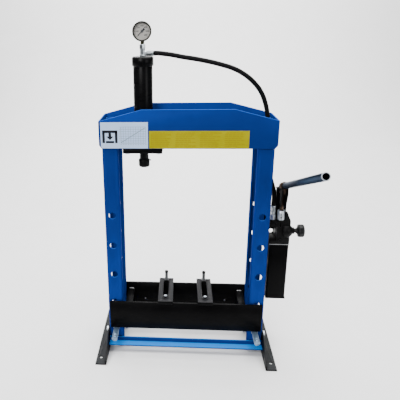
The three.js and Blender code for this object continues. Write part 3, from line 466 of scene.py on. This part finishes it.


# ---- hose: the CAD route, as a rounder tube ----
HOSE_ROUTE = [
    (0.2124, 0.0615, 1.1930), (0.2300, 0.0615, 1.1926), (0.2740, 0.0615, 1.1870), (0.3140, 0.0615, 1.1790),
    (0.3600, 0.0615, 1.1715), (0.4050, 0.0615, 1.1625), (0.4500, 0.0615, 1.1515), (0.4960, 0.0625, 1.1370),
    (0.5370, 0.0635, 1.1155), (0.5740, 0.0645, 1.0850), (0.5990, 0.0655, 1.0535), (0.6160, 0.0655, 1.0170),
    (0.6250, 0.0655, 0.9850), (0.6300, 0.0655, 0.9500), (0.6320, 0.0655, 0.9050), (0.6320, 0.0645, 0.8600),
    (0.6330, 0.0605, 0.8150), (0.6375, 0.0535, 0.7760), (0.6465, 0.0465, 0.7450), (0.6570, 0.0415, 0.7140),
    (0.6650, 0.0385, 0.6840), (0.6680, 0.0375, 0.6560), (0.6680, 0.0375, 0.6274),
]
HOSE_RADIUS = 0.0085
hose_path = smooth_path(HOSE_ROUTE, 12)
hose_mesh = sweep("hose", hose_path, lambda i: HOSE_RADIUS, 24)
hose_mesh.materials.append(RUBBER)
hose_mesh.shade_smooth()
hose = bpy.data.objects.new("hose", hose_mesh)
scene.collection.objects.link(hose)
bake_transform(hose)
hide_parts("hydraulic_hose")


# ---- CAD nodes: material, rounded edges ----
def dress(names, material, bevel=0.0008, segments=2, angle=32.0):
    for name in names:
        obj = nodes[name]
        if obj.material_slots:
            for item in obj.material_slots:
                item.material = material
        else:
            obj.data.materials.append(material)
        obj.data.shade_smooth()
        obj.data.set_sharp_from_angle(angle=math.radians(angle))
        if bevel:
            weld = obj.modifiers.new("weld", "WELD")
            weld.merge_threshold = 0.00002
            rounding = obj.modifiers.new("round", "BEVEL")
            rounding.width = bevel
            rounding.segments = segments
            rounding.limit_method = "ANGLE"
            rounding.angle_limit = math.radians(50)
            rounding.harden_normals = False
            rounding.use_clamp_overlap = True


SIDES = ("left", "right")
ENDS = ("front", "rear")
CORNERS = [f"{side}_{end}" for side in SIDES for end in ENDS]
dress(["head_front_plate", "head_rear_plate", "head_rail_front", "head_rail_rear"], BLUE, 0.0007)
dress([f"upright_{corner}" for corner in CORNERS], BLUE, 0.0006)
dress(["base_front_angle", "base_rear_angle"], BLUE_BASE, 0.0009)
dress(["foot_left", "foot_right"], FOOT_GREY, 0.0008)
dress([f"foot_bolt_{corner}" for corner in CORNERS] + [f"carriage_bolt_{corner}" for corner in CORNERS],
      ZINC, 0.0007)
dress(["bed_front_plate", "bed_rear_plate", "bed_spacer_left", "bed_spacer_right"], BLACK, 0.0010)
dress(["bed_pin_left", "bed_pin_right"], PIN_STEEL, 0.0010)
dress(["block_bolt_left", "block_bolt_right", "hose_ferrule_cylinder", "hose_ferrule_pump", "hose_nut",
       "pump_barrel", "lever_pivot_pin"], ZINC, 0.0006)
dress(["block_left", "block_right"], BLOCK_STEEL, 0.0010)
dress(["carriage_lower_plate", "carriage_upper_plate"], BLACK, 0.0010)
dress(["cylinder_tube", "cylinder_cap"], BLACK_TUBE, 0.0008)
dress(["ram"], BLACK_TUBE, 0.0006)
dress(["ram_pad"], CAST_BLACK, 0.0008)
dress(["pad_screw"], DARK_STEEL, 0.0003)
dress(["cap_tee"], ZINC, 0.0005)
dress(["gauge_case"], BLACK, 0.0006)
dress(["gauge_glass"], GLASS, 0.0)
dress(["gauge_needle"], INK, 0.0)
dress(["label_white"], WHITE_FILM, 0.0)
dress(["label_yellow"], YELLOW_FILM, 0.0)
dress(["return_spring"], DARK_STEEL, 0.0, angle=75.0)
dress(["pump_bracket", "oil_tank", "lever_fork", "lever_yoke"], BLACK, 0.0010)
dress(["pump_body"], CAST_BLACK, 0.0025, 3)
dress(["pump_plunger"], GREASY, 0.0005)
dress(["handle_tube"], HANDLE, 0.0005)
dress(["release_valve"], KNOB, 0.0006)
dress(["tank_filler_cap"], KNOB, 0.0008)


# ---- small parts shared by several places ----
def detail(name, mesh, material, body, slot, smooth=35.0, instead_of=None):
    """A new object that rides on a CAD body, and may take the place of a CAD node."""
    obj = bpy.data.objects.new(name, mesh)
    scene.collection.objects.link(obj)
    mesh.materials.clear()
    mesh.materials.append(material)
    mesh.shade_smooth()
    if smooth is not None:
        mesh.set_sharp_from_angle(angle=math.radians(smooth))
    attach(obj, body)
    if instead_of:
        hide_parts(instead_of)
    return obj


def bead(name, start, end, radius, material, body, slot, seed=0.0):
    """A weld bead with ripples."""
    start, end = Vector(start), Vector(end)
    count = max(8, int((end - start).length / (radius * 0.45)))
    path = [start.lerp(end, i / (count - 1)) for i in range(count)]

    def radius_at(i):
        ends = min(1.0, 0.35 + i * 0.25, 0.35 + (count - 1 - i) * 0.25)
        ripple = 0.88 + 0.12 * math.cos(i * 2.1)
        drift = 0.18 * noise.noise(Vector((i * 0.23, seed, 0.0)))
        return radius * ends * (ripple + drift)

    return detail(name, sweep(name, path, radius_at, 10), material, body, slot, 80.0)


def thread_ridge(name, base, axis, radius, length, pitch, depth, per_turn=20):
    """The raised helix of a screw thread, to lie round a plain shank."""
    axis = Vector(axis).normalized()
    across, along = frame_for(axis)
    turns = length / pitch
    count = int(turns * per_turn)
    path = []
    for i in range(count + 1):
        angle = 2 * math.pi * turns * i / count
        ring = across * math.cos(angle) + along * math.sin(angle)
        path.append(Vector(base) + axis * (length * i / count) + ring * radius)
    return sweep(name, path, lambda i: depth, 4)


def hex_head(name, base, axis, flats, height, material, body, slot):
    """A bolt head with a washer face, a chamfered crown and a shallow dished top."""
    corner = flats / math.sqrt(3)
    head = revolve(name, [(0, 0.0), (corner, 0.0), (corner, height * 0.86), (corner * 0.86, height),
                          (corner * 0.5, height), (corner * 0.42, height * 0.93), (0, height * 0.93)],
                   base, axis, 6)
    washer = revolve(name + "_w", [(0, 0.0), (flats * 0.62, 0.0), (flats * 0.62, 0.0012), (0, 0.0014)],
                     base, axis, 32)
    return detail(name, merge_meshes(name, [head, washer]), material, body, slot, 30.0)


# ---- pressure gauge ----
glass_low, glass_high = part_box("gauge_glass")
case_low, case_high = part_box("gauge_case")
needle_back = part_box("gauge_needle")[1].y
gauge_x = (glass_low.x + glass_high.x) / 2
gauge_z = (glass_low.z + glass_high.z) / 2
GAUGE_R = (case_high.x - case_low.x) / 2
DIAL_R = (glass_high.x - glass_low.x) / 2
DIAL_Y = needle_back + 0.0004
SWEEP = 270.0  # degrees from the first number to the last
FIRST = -135.0  # degrees from the top, clockwise
MARK_LIFT = 0.00012  # printed marks stand this far off the dial
RIM_INNER = 0.93  # the scale's rim, as a share of the dial's radius
RIM_OUTER = 0.945


def on_dial(radius, degrees, forward=0.0):
    angle = math.radians(degrees)
    x = gauge_x + radius * math.sin(angle)
    return Vector((x, DIAL_Y - forward, gauge_z + radius * math.cos(angle)))


def dial_marks():
    """The scale: long, middle and short strokes, and a thin rim that joins them."""
    points, faces = [], []

    def stroke(inner, outer, degrees, width):
        angle = math.radians(degrees)
        side = Vector((math.cos(angle), 0, -math.sin(angle))) * width / 2
        start = len(points)
        for radius in (inner, outer):
            for sign in (-1, 1):
                points.append(on_dial(radius, degrees, MARK_LIFT) + side * sign)
        faces.append((start, start + 1, start + 3, start + 2))

    for i in range(61):
        degrees = FIRST + SWEEP * i / 60
        if i % 10 == 0:
            stroke(DIAL_R * 0.76, DIAL_R * RIM_INNER, degrees, 0.0009)
        elif i % 5 == 0:
            stroke(DIAL_R * 0.81, DIAL_R * RIM_INNER, degrees, 0.0006)
        else:
            stroke(DIAL_R * 0.86, DIAL_R * RIM_INNER, degrees, 0.00035)
    rim_steps = 90
    for i in range(rim_steps):
        start = len(points)
        for degrees in (FIRST + SWEEP * i / rim_steps, FIRST + SWEEP * (i + 1) / rim_steps):
            points.append(on_dial(DIAL_R * RIM_INNER, degrees, MARK_LIFT))
            points.append(on_dial(DIAL_R * RIM_OUTER, degrees, MARK_LIFT))
        faces.append((start, start + 1, start + 3, start + 2))
    return mesh_from("gauge_marks", points, faces)


dial = revolve("gauge_dial", [(0, 0), (DIAL_R, 0), (DIAL_R, 0.0003), (0, 0.0003)],
               (gauge_x, DIAL_Y, gauge_z), (0, 1, 0), 64)
detail("gauge_dial", dial, DIAL, "carriage", "label_white")
detail("gauge_marks", dial_marks(), INK, "carriage", "black_paint", None)
for i in range(7):
    text = bpy.data.curves.new(f"gauge_number_{i}", "FONT")
    text.body = str(i * 100)
    text.size = DIAL_R * 0.25
    text.offset = 0.00016
    text.align_x = "CENTER"
    text.align_y = "CENTER"
    text.materials.append(INK)
    number = bpy.data.objects.new(f"gauge_number_{i}", text)
    scene.collection.objects.link(number)
    number.rotation_euler = (math.pi / 2, 0, 0)
    number.location = on_dial(DIAL_R * 0.58, FIRST + SWEEP * i / 6, 0.00015)
    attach(number, "carriage")
bezel = revolve("gauge_bezel", [
    (DIAL_R - 0.0022, -0.0040), (DIAL_R - 0.0024, -0.0002), (DIAL_R - 0.0014, 0.0012),
    (GAUGE_R - 0.0012, 0.0014), (GAUGE_R - 0.0002, 0.0006), (GAUGE_R + 0.0003, -0.0010),
    (GAUGE_R + 0.0003, -0.0052), (GAUGE_R - 0.0010, -0.0062), (DIAL_R, -0.0050),
    (DIAL_R - 0.0022, -0.0040)], (gauge_x, case_low.y, gauge_z), (0, -1, 0), 72)
detail("gauge_bezel", bezel, BEZEL, "carriage", "black_paint", 40.0)
needle_pivot = Vector((gauge_x, needle_back - 0.0002, gauge_z))
tip_way = Vector((math.sin(math.radians(FIRST)), 0, math.cos(math.radians(FIRST))))
tip_side = Vector((tip_way.z, 0, -tip_way.x))
outline = [(-0.0125, 0.0026), (-0.0105, 0.0036), (-0.0060, 0.0034), (0.0, 0.0028), (0.0080, 0.0016),
           (0.0245, 0.0007)]  # along the needle from its pivot, and half its width there
rim_points = [needle_pivot + tip_way * a + tip_side * b for a, b in outline]
rim_points += [needle_pivot + tip_way * a - tip_side * b for a, b in reversed(outline)]
count = len(rim_points)
blade_thickness = Vector((0, -0.0008, 0))
blade = mesh_from("needle_blade", rim_points + [p + blade_thickness for p in rim_points],
                  [tuple(range(count)), tuple(reversed(range(count, 2 * count)))]
                  + [(i, i + count, (i + 1) % count + count, (i + 1) % count) for i in range(count)])
hub = revolve("needle_hub", [(0, 0), (0.0046, 0), (0.0046, 0.0016), (0.0034, 0.0023), (0, 0.0024)],
              needle_pivot, (0, -1, 0), 32)
detail("needle", merge_meshes("needle", [blade, hub]), INK, "needle", "black_paint", 30.0, "gauge_needle")

# ---- fittings under the gauge ----
tee_low, tee_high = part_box("cap_tee")
cap_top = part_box("cylinder_cap")[1].z
stem_at = Vector((gauge_x, centre_of("cylinder_cap").y, 0))
SQUARE_HALF = 0.0062
square = block_mesh("gauge_stem_square",
                    (gauge_x - SQUARE_HALF, stem_at.y - SQUARE_HALF, tee_high.z + 0.0012),
                    (gauge_x + SQUARE_HALF, stem_at.y + SQUARE_HALF, tee_high.z + 0.0112), 0.0008)
detail("gauge_stem_square", square, BRASS, "carriage", "zinc")


def collar(name, low, tall, flats):
    """A hexagonal nut round the upright fitting under the gauge."""
    corner = flats / math.sqrt(3)
    bore, chamfer = 0.0090, 0.0009
    nut = revolve(name, [(bore, 0), (corner * 0.9, 0), (corner, chamfer), (corner, tall - chamfer),
                         (corner * 0.9, tall), (bore, tall), (bore, 0)],
                  stem_at + Vector((0, 0, low)), (0, 0, 1), 6)
    detail(name, nut, FERRULE, "carriage", "zinc", 30.0)


collar("gauge_swivel_nut", tee_high.z - 0.0150, 0.0125, 0.0205)
collar("tee_lock_nut", tee_low.z + 0.0010 if tee_low.z > cap_top else cap_top, 0.0050, 0.0210)

# ---- label prints ----
white_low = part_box("label_white")[0]
yellow_low, yellow_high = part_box("label_yellow")
PRINT_Y = white_low.y - 0.00012
PRINT_FOOT = 0.0195  # from the white label's lower edge to its prints
GRID_COLUMNS = 10
GRID_ROWS = 7


def strokes_mesh(name, rectangles, lines=()):
    """Flat printed marks: rectangles (x0, z0, x1, z1) and straight lines (x0, z0, x1, z1, width)."""
    points, faces = [], []
    for x0, z0, x1, z1 in rectangles:
        start = len(points)
        points += [(x0, PRINT_Y, z0), (x1, PRINT_Y, z0), (x1, PRINT_Y, z1), (x0, PRINT_Y, z1)]
        faces.append((start, start + 1, start + 2, start + 3))
    for x0, z0, x1, z1, width in lines:
        side = Vector((z0 - z1, 0, x1 - x0)).normalized() * width / 2
        start = len(points)
        for x, z in ((x0, z0), (x1, z1)):
            points += [Vector((x, PRINT_Y - 0.00004, z)) - side, Vector((x, PRINT_Y - 0.00004, z)) + side]
        faces.append((start, start + 2, start + 3, start + 1))
    return mesh_from(name, points, faces)


def pictogram():
    """A press seen from the front: posts and crosshead, a ram arrow, and a work piece."""
    x, z = white_low.x + 0.0060, white_low.z + PRINT_FOOT
    wide, tall, bold = 0.056, 0.047, 0.0095
    middle = x + wide / 2
    marks = [
        (x, z, x + bold, z + tall), (x + wide - bold, z, x + wide, z + tall),
        (x, z + tall - bold, x + wide, z + tall),
        (middle - 0.0050, z + 0.0235, middle + 0.0050, z + tall - bold),
        (x + 0.0125, z, x + wide - 0.0125, z + 0.0080),
    ]
    mesh = strokes_mesh("label_pictogram", marks)
    bm = bmesh.new()
    bm.from_mesh(mesh)
    tip = [(middle - 0.0130, z + 0.0245), (middle + 0.0130, z + 0.0245), (middle, z + 0.0110)]
    bm.faces.new([bm.verts.new((a, PRINT_Y - 0.00003, b)) for a, b in reversed(tip)])
    bm.to_mesh(mesh)
    bm.free()
    return mesh


detail("label_pictogram", pictogram(), INK, "frame", "label_white", None)
left, low, wide, tall = white_low.x + 0.0745, white_low.z + PRINT_FOOT, 0.090, 0.0595
column_x = [left + wide * i / GRID_COLUMNS for i in range(GRID_COLUMNS + 1)]
row_z = [low + tall * i / GRID_ROWS for i in range(GRID_ROWS + 1)]
grid = [(x - 0.0006, low, x + 0.0006, low + tall) for x in column_x]
grid += [(left, z - 0.0006, left + wide, z + 0.0006) for z in row_z]
detail("label_grid", strokes_mesh("label_grid", grid), FAINT_INK, "frame", "label_white", None)
axes = [(left, low, left + wide, low, 0.0014), (left, low, left, low + tall, 0.0014),
        (left, low + 0.002, left + wide * 0.98, low + tall * 0.95, 0.0020)]
axes += [(x - 0.002, low - 0.005, x + 0.002, low - 0.005, 0.0016) for x in column_x]
axes += [(left - 0.006, z, left - 0.003, z, 0.0013) for z in row_z]
detail("label_curve", strokes_mesh("label_curve", [], axes), GREY_INK, "frame", "label_white", None)
WORDS = 5
WORD_SHARE = 0.82  # of the pitch from one printed stroke to the next
rows = []
for column in range(4):
    x0 = yellow_low.x + 0.008 + column * 0.0875
    for row in range(8):
        z0 = yellow_high.z - 0.0085 - row * 0.0068
        span = 0.074 * (0.62 + 0.38 * abs(math.sin(column * 2.3 + row * 1.7)))
        start = x0 if row else x0 + 0.004
        for word in range(WORDS):
            x1 = start + span * (word + WORD_SHARE) / WORDS
            rows.append((start + span * word / WORDS, z0, x1, z0 + 0.0021))
detail("label_lines", strokes_mesh("label_lines", rows), OCHRE_INK, "frame", "label_yellow", None)

# ---- block studs: bright threaded sleeves with dark caps ----
for side in SIDES:
    low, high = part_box(f"block_{side}")
    x = (low.x + high.x) / 2
    y = high.y - 0.011
    plate_top = low.z + 0.0141
    cap_height = 0.008
    tall = high.z - plate_top - cap_height
    body = f"{side}_block"
    sleeve = revolve(f"stud_{side}", [(0, 0), (0.00615, 0), (0.00615, tall), (0, tall)],
                     (x, y, plate_top), (0, 0, 1), 32)
    ridge = thread_ridge(f"stud_ridge_{side}", (x, y, plate_top + 0.001), (0, 0, 1), 0.0061,
                         tall - 0.001, 0.00175, 0.00055)
    detail(f"stud_{side}", merge_meshes(f"stud_{side}", [sleeve, ridge]), STUD, body, "black_paint", 40.0)
    cap = revolve(f"stud_cap_{side}", [(0, 0), (0.0070, 0), (0.0074, 0.0006), (0.0074, 0.0058),
                                       (0.0066, 0.0076), (0.0040, 0.0086), (0, 0.0088)],
                  (x, y, high.z - cap_height - 0.0002), (0, 0, 1), 36)
    detail(f"stud_cap_{side}", cap, KNOB, body, "knob_plastic", 50.0)
    base = revolve(f"stud_base_{side}", [(0.006, 0), (0.0105, 0), (0.0112, 0.0007), (0.0112, 0.0026),
                                         (0.0105, 0.0032), (0.006, 0.0032), (0.006, 0)],
                   (x, y, plate_top), (0, 0, 1), 36)
    detail(f"stud_base_{side}", base, DARK_STEEL, body, "black_paint", 40.0)

# ---- block bolts: a dark washer and head with a worn bright crown ----
for side in SIDES:
    low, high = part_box(f"block_bolt_{side}")
    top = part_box(f"block_{side}")[0].z + 0.0143
    at = ((low.x + high.x) / 2, (low.y + high.y) / 2, top)
    name, body = f"clamp_{side}", f"{side}_block"
    shank_foot = low.z - top
    shank = revolve(f"{name}_shank", [(0, shank_foot), (0.0080, shank_foot), (0.0080, 0.0), (0, 0.0)],
                    at, (0, 0, 1), 32)
    washer = revolve(f"{name}_washer", [(0, 0), (0.0136, 0), (0.0140, 0.0004), (0.0140, 0.0016),
                                        (0.0134, 0.0020), (0, 0.0020)], at, (0, 0, 1), 40)
    head = revolve(f"{name}_head", [(0, 0.0018), (0.0090, 0.0018), (0.0092, 0.0026), (0.0092, 0.0068),
                                    (0.0080, 0.0080), (0, 0.0080)], at, (0, 0, 1), 6)
    bolt = merge_meshes(name, [shank, washer, head])
    detail(name, bolt, BLOCK_STEEL, body, "zinc", 30.0, f"block_bolt_{side}")
    crown = revolve(f"{name}_crown", [(0, 0.0079), (0.0062, 0.0079), (0.0058, 0.0086), (0.0030, 0.0089),
                                      (0, 0.0090)], at, (0, 0, 1), 32)
    detail(f"{name}_crown", crown, CUT_STEEL, body, "zinc", 50.0)

# ---- weld beads ----
upright_low, upright_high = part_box("upright_right_front")
head_low, head_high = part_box("head_front_plate")
mid_x = (head_low.x + head_high.x) / 2
mid_y = (head_low.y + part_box("head_rear_plate")[1].y) / 2
WELD_INSET = 0.006  # the welds stop short of the upright's corners
base_weld_y = upright_low.y - 0.0016
base_weld_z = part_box("base_front_angle")[1].z + 0.0006
head_weld_z = head_low.z - 0.0006
for sign, side in ((-1, "left"), (1, "right")):
    inner = mid_x + sign * (upright_low.x + WELD_INSET - mid_x)
    outer = mid_x + sign * (upright_high.x - WELD_INSET - mid_x)
    # the base beads and the head beads below use BLUE_SHADE, a painted shade line under the head's lower
    # edge and along the base
    bead(f"weld_base_{side}", (inner, base_weld_y, base_weld_z), (outer, base_weld_y, base_weld_z),
         0.0022, BLUE_SHADE, "frame", "frame_blue", sign)
    for end, y_of in (("front", lambda y: y), ("rear", lambda y: 2 * mid_y - y)):
        y = y_of(upright_low.y - 0.0006)
        bead(f"weld_head_{side}_{end}", (inner, y, head_weld_z), (outer, y, head_weld_z),
             0.0026, BLUE_SHADE, "frame", "frame_blue", sign + 5)
    low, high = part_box(f"bed_spacer_{side}")
    for end, plate_y in (("front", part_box("bed_front_plate")[1].y + 0.0015),
                         ("rear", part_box("bed_rear_plate")[0].y - 0.0015)):
        z = high.z + 0.0014
        bead(f"weld_spacer_{side}_{end}", (low.x + 0.003, plate_y, z), (high.x - 0.003, plate_y, z),
             0.0032, BARE_WELD, "bed", "black_paint", sign + 9)
SEAM_STEPS = ((0.006, 0.035), (0.065, 0.092))  # heights above the head's lower edge
for sign, side, seam_x in ((-1, "left", head_low.x), (1, "right", head_high.x)):
    for step, (start, stop) in enumerate(SEAM_STEPS):
        bead(f"weld_seam_{side}_{step}", (seam_x, mid_y, head_low.z + start),
             (seam_x, mid_y, head_low.z + stop), 0.0026, BLUE, "frame", "frame_blue", sign * 3 + step)

# ---- bed: round heads of the rivets on the rear plate ----
rear_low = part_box("bed_rear_plate")[0]
RIVET_X = 0.173  # from the bed's middle
RIVET_Z = 0.0435  # above the plate's lower edge
for sign, side in ((-1, "left"), (1, "right")):
    rivet = revolve(f"bed_rivet_{side}", [(0, 0), (0.0042, 0), (0.0039, 0.0012), (0.0026, 0.0022),
                                          (0, 0.0025)],
                    (mid_x + sign * RIVET_X, rear_low.y, rear_low.z + RIVET_Z), (0, -1, 0), 32)
    detail(f"bed_rivet_{side}", rivet, DARK_STEEL, "bed", "black_paint", 60.0)


# ---- hose fittings: crimped ferrules ----
def crimped(name, node, axis, body):
    """A ferrule along X or Z with crimped rings, in place of its CAD node."""
    low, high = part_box(node)
    size = high - low
    middle = (low + high) / 2
    along = 2 if axis[2] else 0
    length = size[along]
    radius = size[(along + 1) % 3] / 2
    base = Vector(middle)
    base[along] = low[along]
    profile = [(0, 0), (radius * 0.86, 0), (radius, length * 0.03)]
    grooves = 5
    waist = radius * 0.90
    width = length * 0.76 / grooves
    for i in range(grooves):
        start = length * (0.12 + 0.76 * i / grooves)
        profile += [(radius, start), (waist, start + width * 0.15), (waist, start + width * 0.40),
                    (radius, start + width * 0.55)]
    profile += [(radius, length * 0.96), (radius * 0.88, length), (0, length)]
    detail(name, revolve(name, profile, base, axis, 40), FERRULE, body, "zinc", 45.0, node)


crimped("ferrule_pump", "hose_ferrule_pump", (0, 0, 1), "frame")
crimped("ferrule_cylinder", "hose_ferrule_cylinder", (1, 0, 0), "carriage")

# ---- pump: tank seam and rim, plugs, bracket bolts, collars, knob and gland ----
tank_low, tank_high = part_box("oil_tank")
PUMP_FACE = tank_low.y + 0.0020
seam = block_mesh("tank_seam", (tank_low.x - 0.0006, tank_low.y - 0.0006, tank_high.z - 0.0012),
                  (tank_high.x + 0.0006, tank_high.y - 0.0003, tank_high.z + 0.0005), 0.0004)
detail("tank_seam", seam, SEAM_ALLOY, "frame", "bright_steel")
rim = block_mesh("tank_rim", (tank_low.x - 0.0010, tank_low.y - 0.0010, tank_low.z),
                 (tank_high.x + 0.0010, tank_high.y - 0.0003, tank_low.z + 0.006), 0.0010, 3)
detail("tank_rim", rim, BLACK, "frame", "black_paint")
PLUGS_XZ = ((0.678, 0.553), (0.700, 0.484))
for i, (x, z) in enumerate(PLUGS_XZ):
    plug = revolve(f"body_plug_{i}", [(0, 0.001), (0.0030, 0.001), (0.0034, 0.0032), (0.0060, 0.0034),
                                      (0.0068, 0.0026), (0.0068, 0), (0, 0)],
                   (x, PUMP_FACE, z), (0, -1, 0), 36)
    detail(f"body_plug_{i}", plug, CAST_BLACK, "frame", "cast_black", 40.0)
plate_back = tank_high.y + 0.0063
BRACKET_BOLTS_XZ = ((0.670, 0.548), (0.724, 0.548), (0.670, 0.474), (0.724, 0.474))
for i, (x, z) in enumerate(BRACKET_BOLTS_XZ):
    hex_head(f"bracket_bolt_{i}", (x, plate_back, z), (0, 1, 0), 0.013, 0.0053, ZINC, "frame", "zinc")

valve_low, valve_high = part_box("release_valve")
valve_y = (valve_low.y + valve_high.y) / 2
valve_z = (valve_low.z + valve_high.z) / 2
KNOB_WIDTH = 0.032
knob_left = valve_high.x - KNOB_WIDTH
stem_end = valve_low.x - knob_left
knob = revolve("release_knob", [
    (0, stem_end), (0.0050, stem_end), (0.0050, -0.0048), (0.0078, -0.0046), (0.0080, -0.0030),
    (0.0105, 0.0), (0.0112, 0.0040), (0.0150, 0.0062), (0.0220, 0.0072), (0.0248, 0.0092),
    (0.0259, 0.0125), (0.0259, 0.0245), (0.0246, 0.0280), (0.0210, 0.0303), (0.0160, 0.0315),
    (0.0060, KNOB_WIDTH), (0, KNOB_WIDTH)], (knob_left, valve_y, valve_z), (1, 0, 0), 96, 8, 0.0014, 0.020)
detail("release_knob", knob, KNOB, "release_valve", "knob_plastic", 50.0, "release_valve")
for name, node, inner_r, outer_r, tall in (("barrel_collar", "pump_barrel", 0.01415, 0.0172, 0.0062),
                                           ("outlet_collar", "hose_nut", 0.0117, 0.0140, 0.0048)):
    low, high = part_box(node)
    foot = ((low.x + high.x) / 2, (low.y + high.y) / 2, low.z)
    collar_ring = revolve(name, [(inner_r, 0.0), (outer_r, 0.0), (outer_r, tall - 0.0010),
                                 (outer_r - 0.0010, tall), (inner_r, tall), (inner_r, 0.0)],
                          foot, (0, 0, 1), 48)
    detail(name, collar_ring, CAST_BLACK, "frame", "cast_black", 40.0)
gland = revolve("valve_gland", [(0.0052, 0), (0.0120, 0), (0.0128, 0.0008), (0.0128, 0.0062),
                                (0.0120, 0.0070), (0.0052, 0.0070), (0.0052, 0)],
                (tank_high.x + 0.0110, valve_y, valve_z), (1, 0, 0), 6)
detail("valve_gland", gland, CAST_BLACK, "frame", "cast_black", 30.0)

# ---- handle: a heat-marked weld where it enters the fork, and its bright cut end ----
tilt = math.radians(21.05)
handle_axis = Vector((0, -math.cos(tilt), math.sin(tilt)))
HANDLE_LIFT = 0.0124  # from the pivot to the handle's axis
HANDLE_RADIUS = 0.0120
HANDLE_BORE = 0.0095
ROOT_ALONG = 0.0545
END_ALONG = 0.5701
on_axis = centre_of("lever_pivot_pin") + Vector((0, math.sin(tilt), math.cos(tilt))) * HANDLE_LIFT
weld_centre = on_axis + handle_axis * ROOT_ALONG
ring_across, ring_along = frame_for(handle_axis)
ring_path = []
for i in range(73):
    angle = 2 * math.pi * i / 72
    ring_path.append(weld_centre + (ring_across * math.cos(angle) + ring_along * math.sin(angle)) * 0.0142)


def ring_radius(i):
    return 0.0024 * (0.85 + 0.15 * math.cos(i * 2.2) + 0.2 * noise.noise(Vector((i * 0.4, 2, 0))))


detail("weld_handle", sweep("weld_handle", ring_path, ring_radius, 8), BURNT_WELD, "lever", "black_paint",
       80.0)
handle_end = revolve("handle_end", [
    (HANDLE_BORE + 0.0001, -0.0020), (HANDLE_BORE + 0.0003, 0.0), (HANDLE_BORE + 0.0006, 0.0004),
    (HANDLE_RADIUS - 0.0005, 0.0004), (HANDLE_RADIUS + 0.0002, -0.0003), (HANDLE_RADIUS + 0.0002, -0.0030),
    (HANDLE_RADIUS - 0.0005, -0.0032), (HANDLE_BORE + 0.0001, -0.0020)],
    on_axis + handle_axis * END_ALONG, handle_axis, 64)
detail("handle_end", handle_end, CUT_STEEL, "lever", "bright_steel", 40.0)


# ---- stage: a pale floor that curves up into a backdrop, and soft lights ----
STAGE_HALF_WIDTH = 7.0
STAGE_FRONT = -0.85
STAGE_BEND_AT = 3.5
STAGE_BEND = 1.5
STAGE_TOP = 6.0
STAGE_DROP = 0.0005  # keeps the floor clear of the feet's soles


def stage_floor():
    profile = [(STAGE_FRONT, 0.0)]
    steps = 12
    for i in range(steps + 1):
        angle = math.pi / 2 * i / steps
        profile.append((STAGE_BEND_AT + STAGE_BEND * math.sin(angle), STAGE_BEND * (1 - math.cos(angle))))
    profile.append((STAGE_BEND_AT + STAGE_BEND, STAGE_TOP))
    edges = (mid_x - STAGE_HALF_WIDTH, mid_x + STAGE_HALF_WIDTH)
    points = [(x, y, z - STAGE_DROP) for y, z in profile for x in edges]
    faces = [(2 * i, 2 * i + 1, 2 * i + 3, 2 * i + 2) for i in range(len(profile) - 1)]
    mesh = mesh_from("floor", points, faces)
    obj = bpy.data.objects.new("floor", mesh)
    scene.collection.objects.link(obj)
    mesh.shade_smooth()
    mesh.materials.append(finish("pale_floor", (0.90, 0.90, 0.90), 0.75, specular=0.1, tint=0.01,
                                 rough_spread=0.03, grain=0.01, grain_scale=60.0))


stage_floor()

world = bpy.data.worlds.new("studio")
scene.world = world
world.use_nodes = True
sky = world.node_tree.nodes["Background"]
sky.inputs["Color"].default_value = (1.0, 1.0, 1.0, 1.0)
sky.inputs["Strength"].default_value = 0.10


def area_light(name, at, towards, size, power):
    data = bpy.data.lights.new(name, "AREA")
    data.shape = "RECTANGLE"
    data.size, data.size_y = size
    data.energy = power
    obj = bpy.data.objects.new(name, data)
    scene.collection.objects.link(obj)
    obj.location = at
    obj.rotation_mode = "QUATERNION"
    obj.rotation_quaternion = (Vector(at) - Vector(towards)).to_track_quat("Z", "Y")


area_light("top", (mid_x, 0.3, 3.4), (mid_x, 0.1, 0.4), (3.4, 3.0), 330.0)
area_light("key", (mid_x - 1.4, -3.0, 2.6), (mid_x, 0.0, 0.7), (1.6, 1.6), 132.0)
area_light("fill", (mid_x + 2.6, -2.4, 1.5), (mid_x + 0.1, 0.0, 0.6), (1.2, 1.8), 45.0)
area_light("backdrop", (mid_x, 3.2, 3.6), (mid_x, 5.0, 0.8), (5.0, 1.0), 330.0)
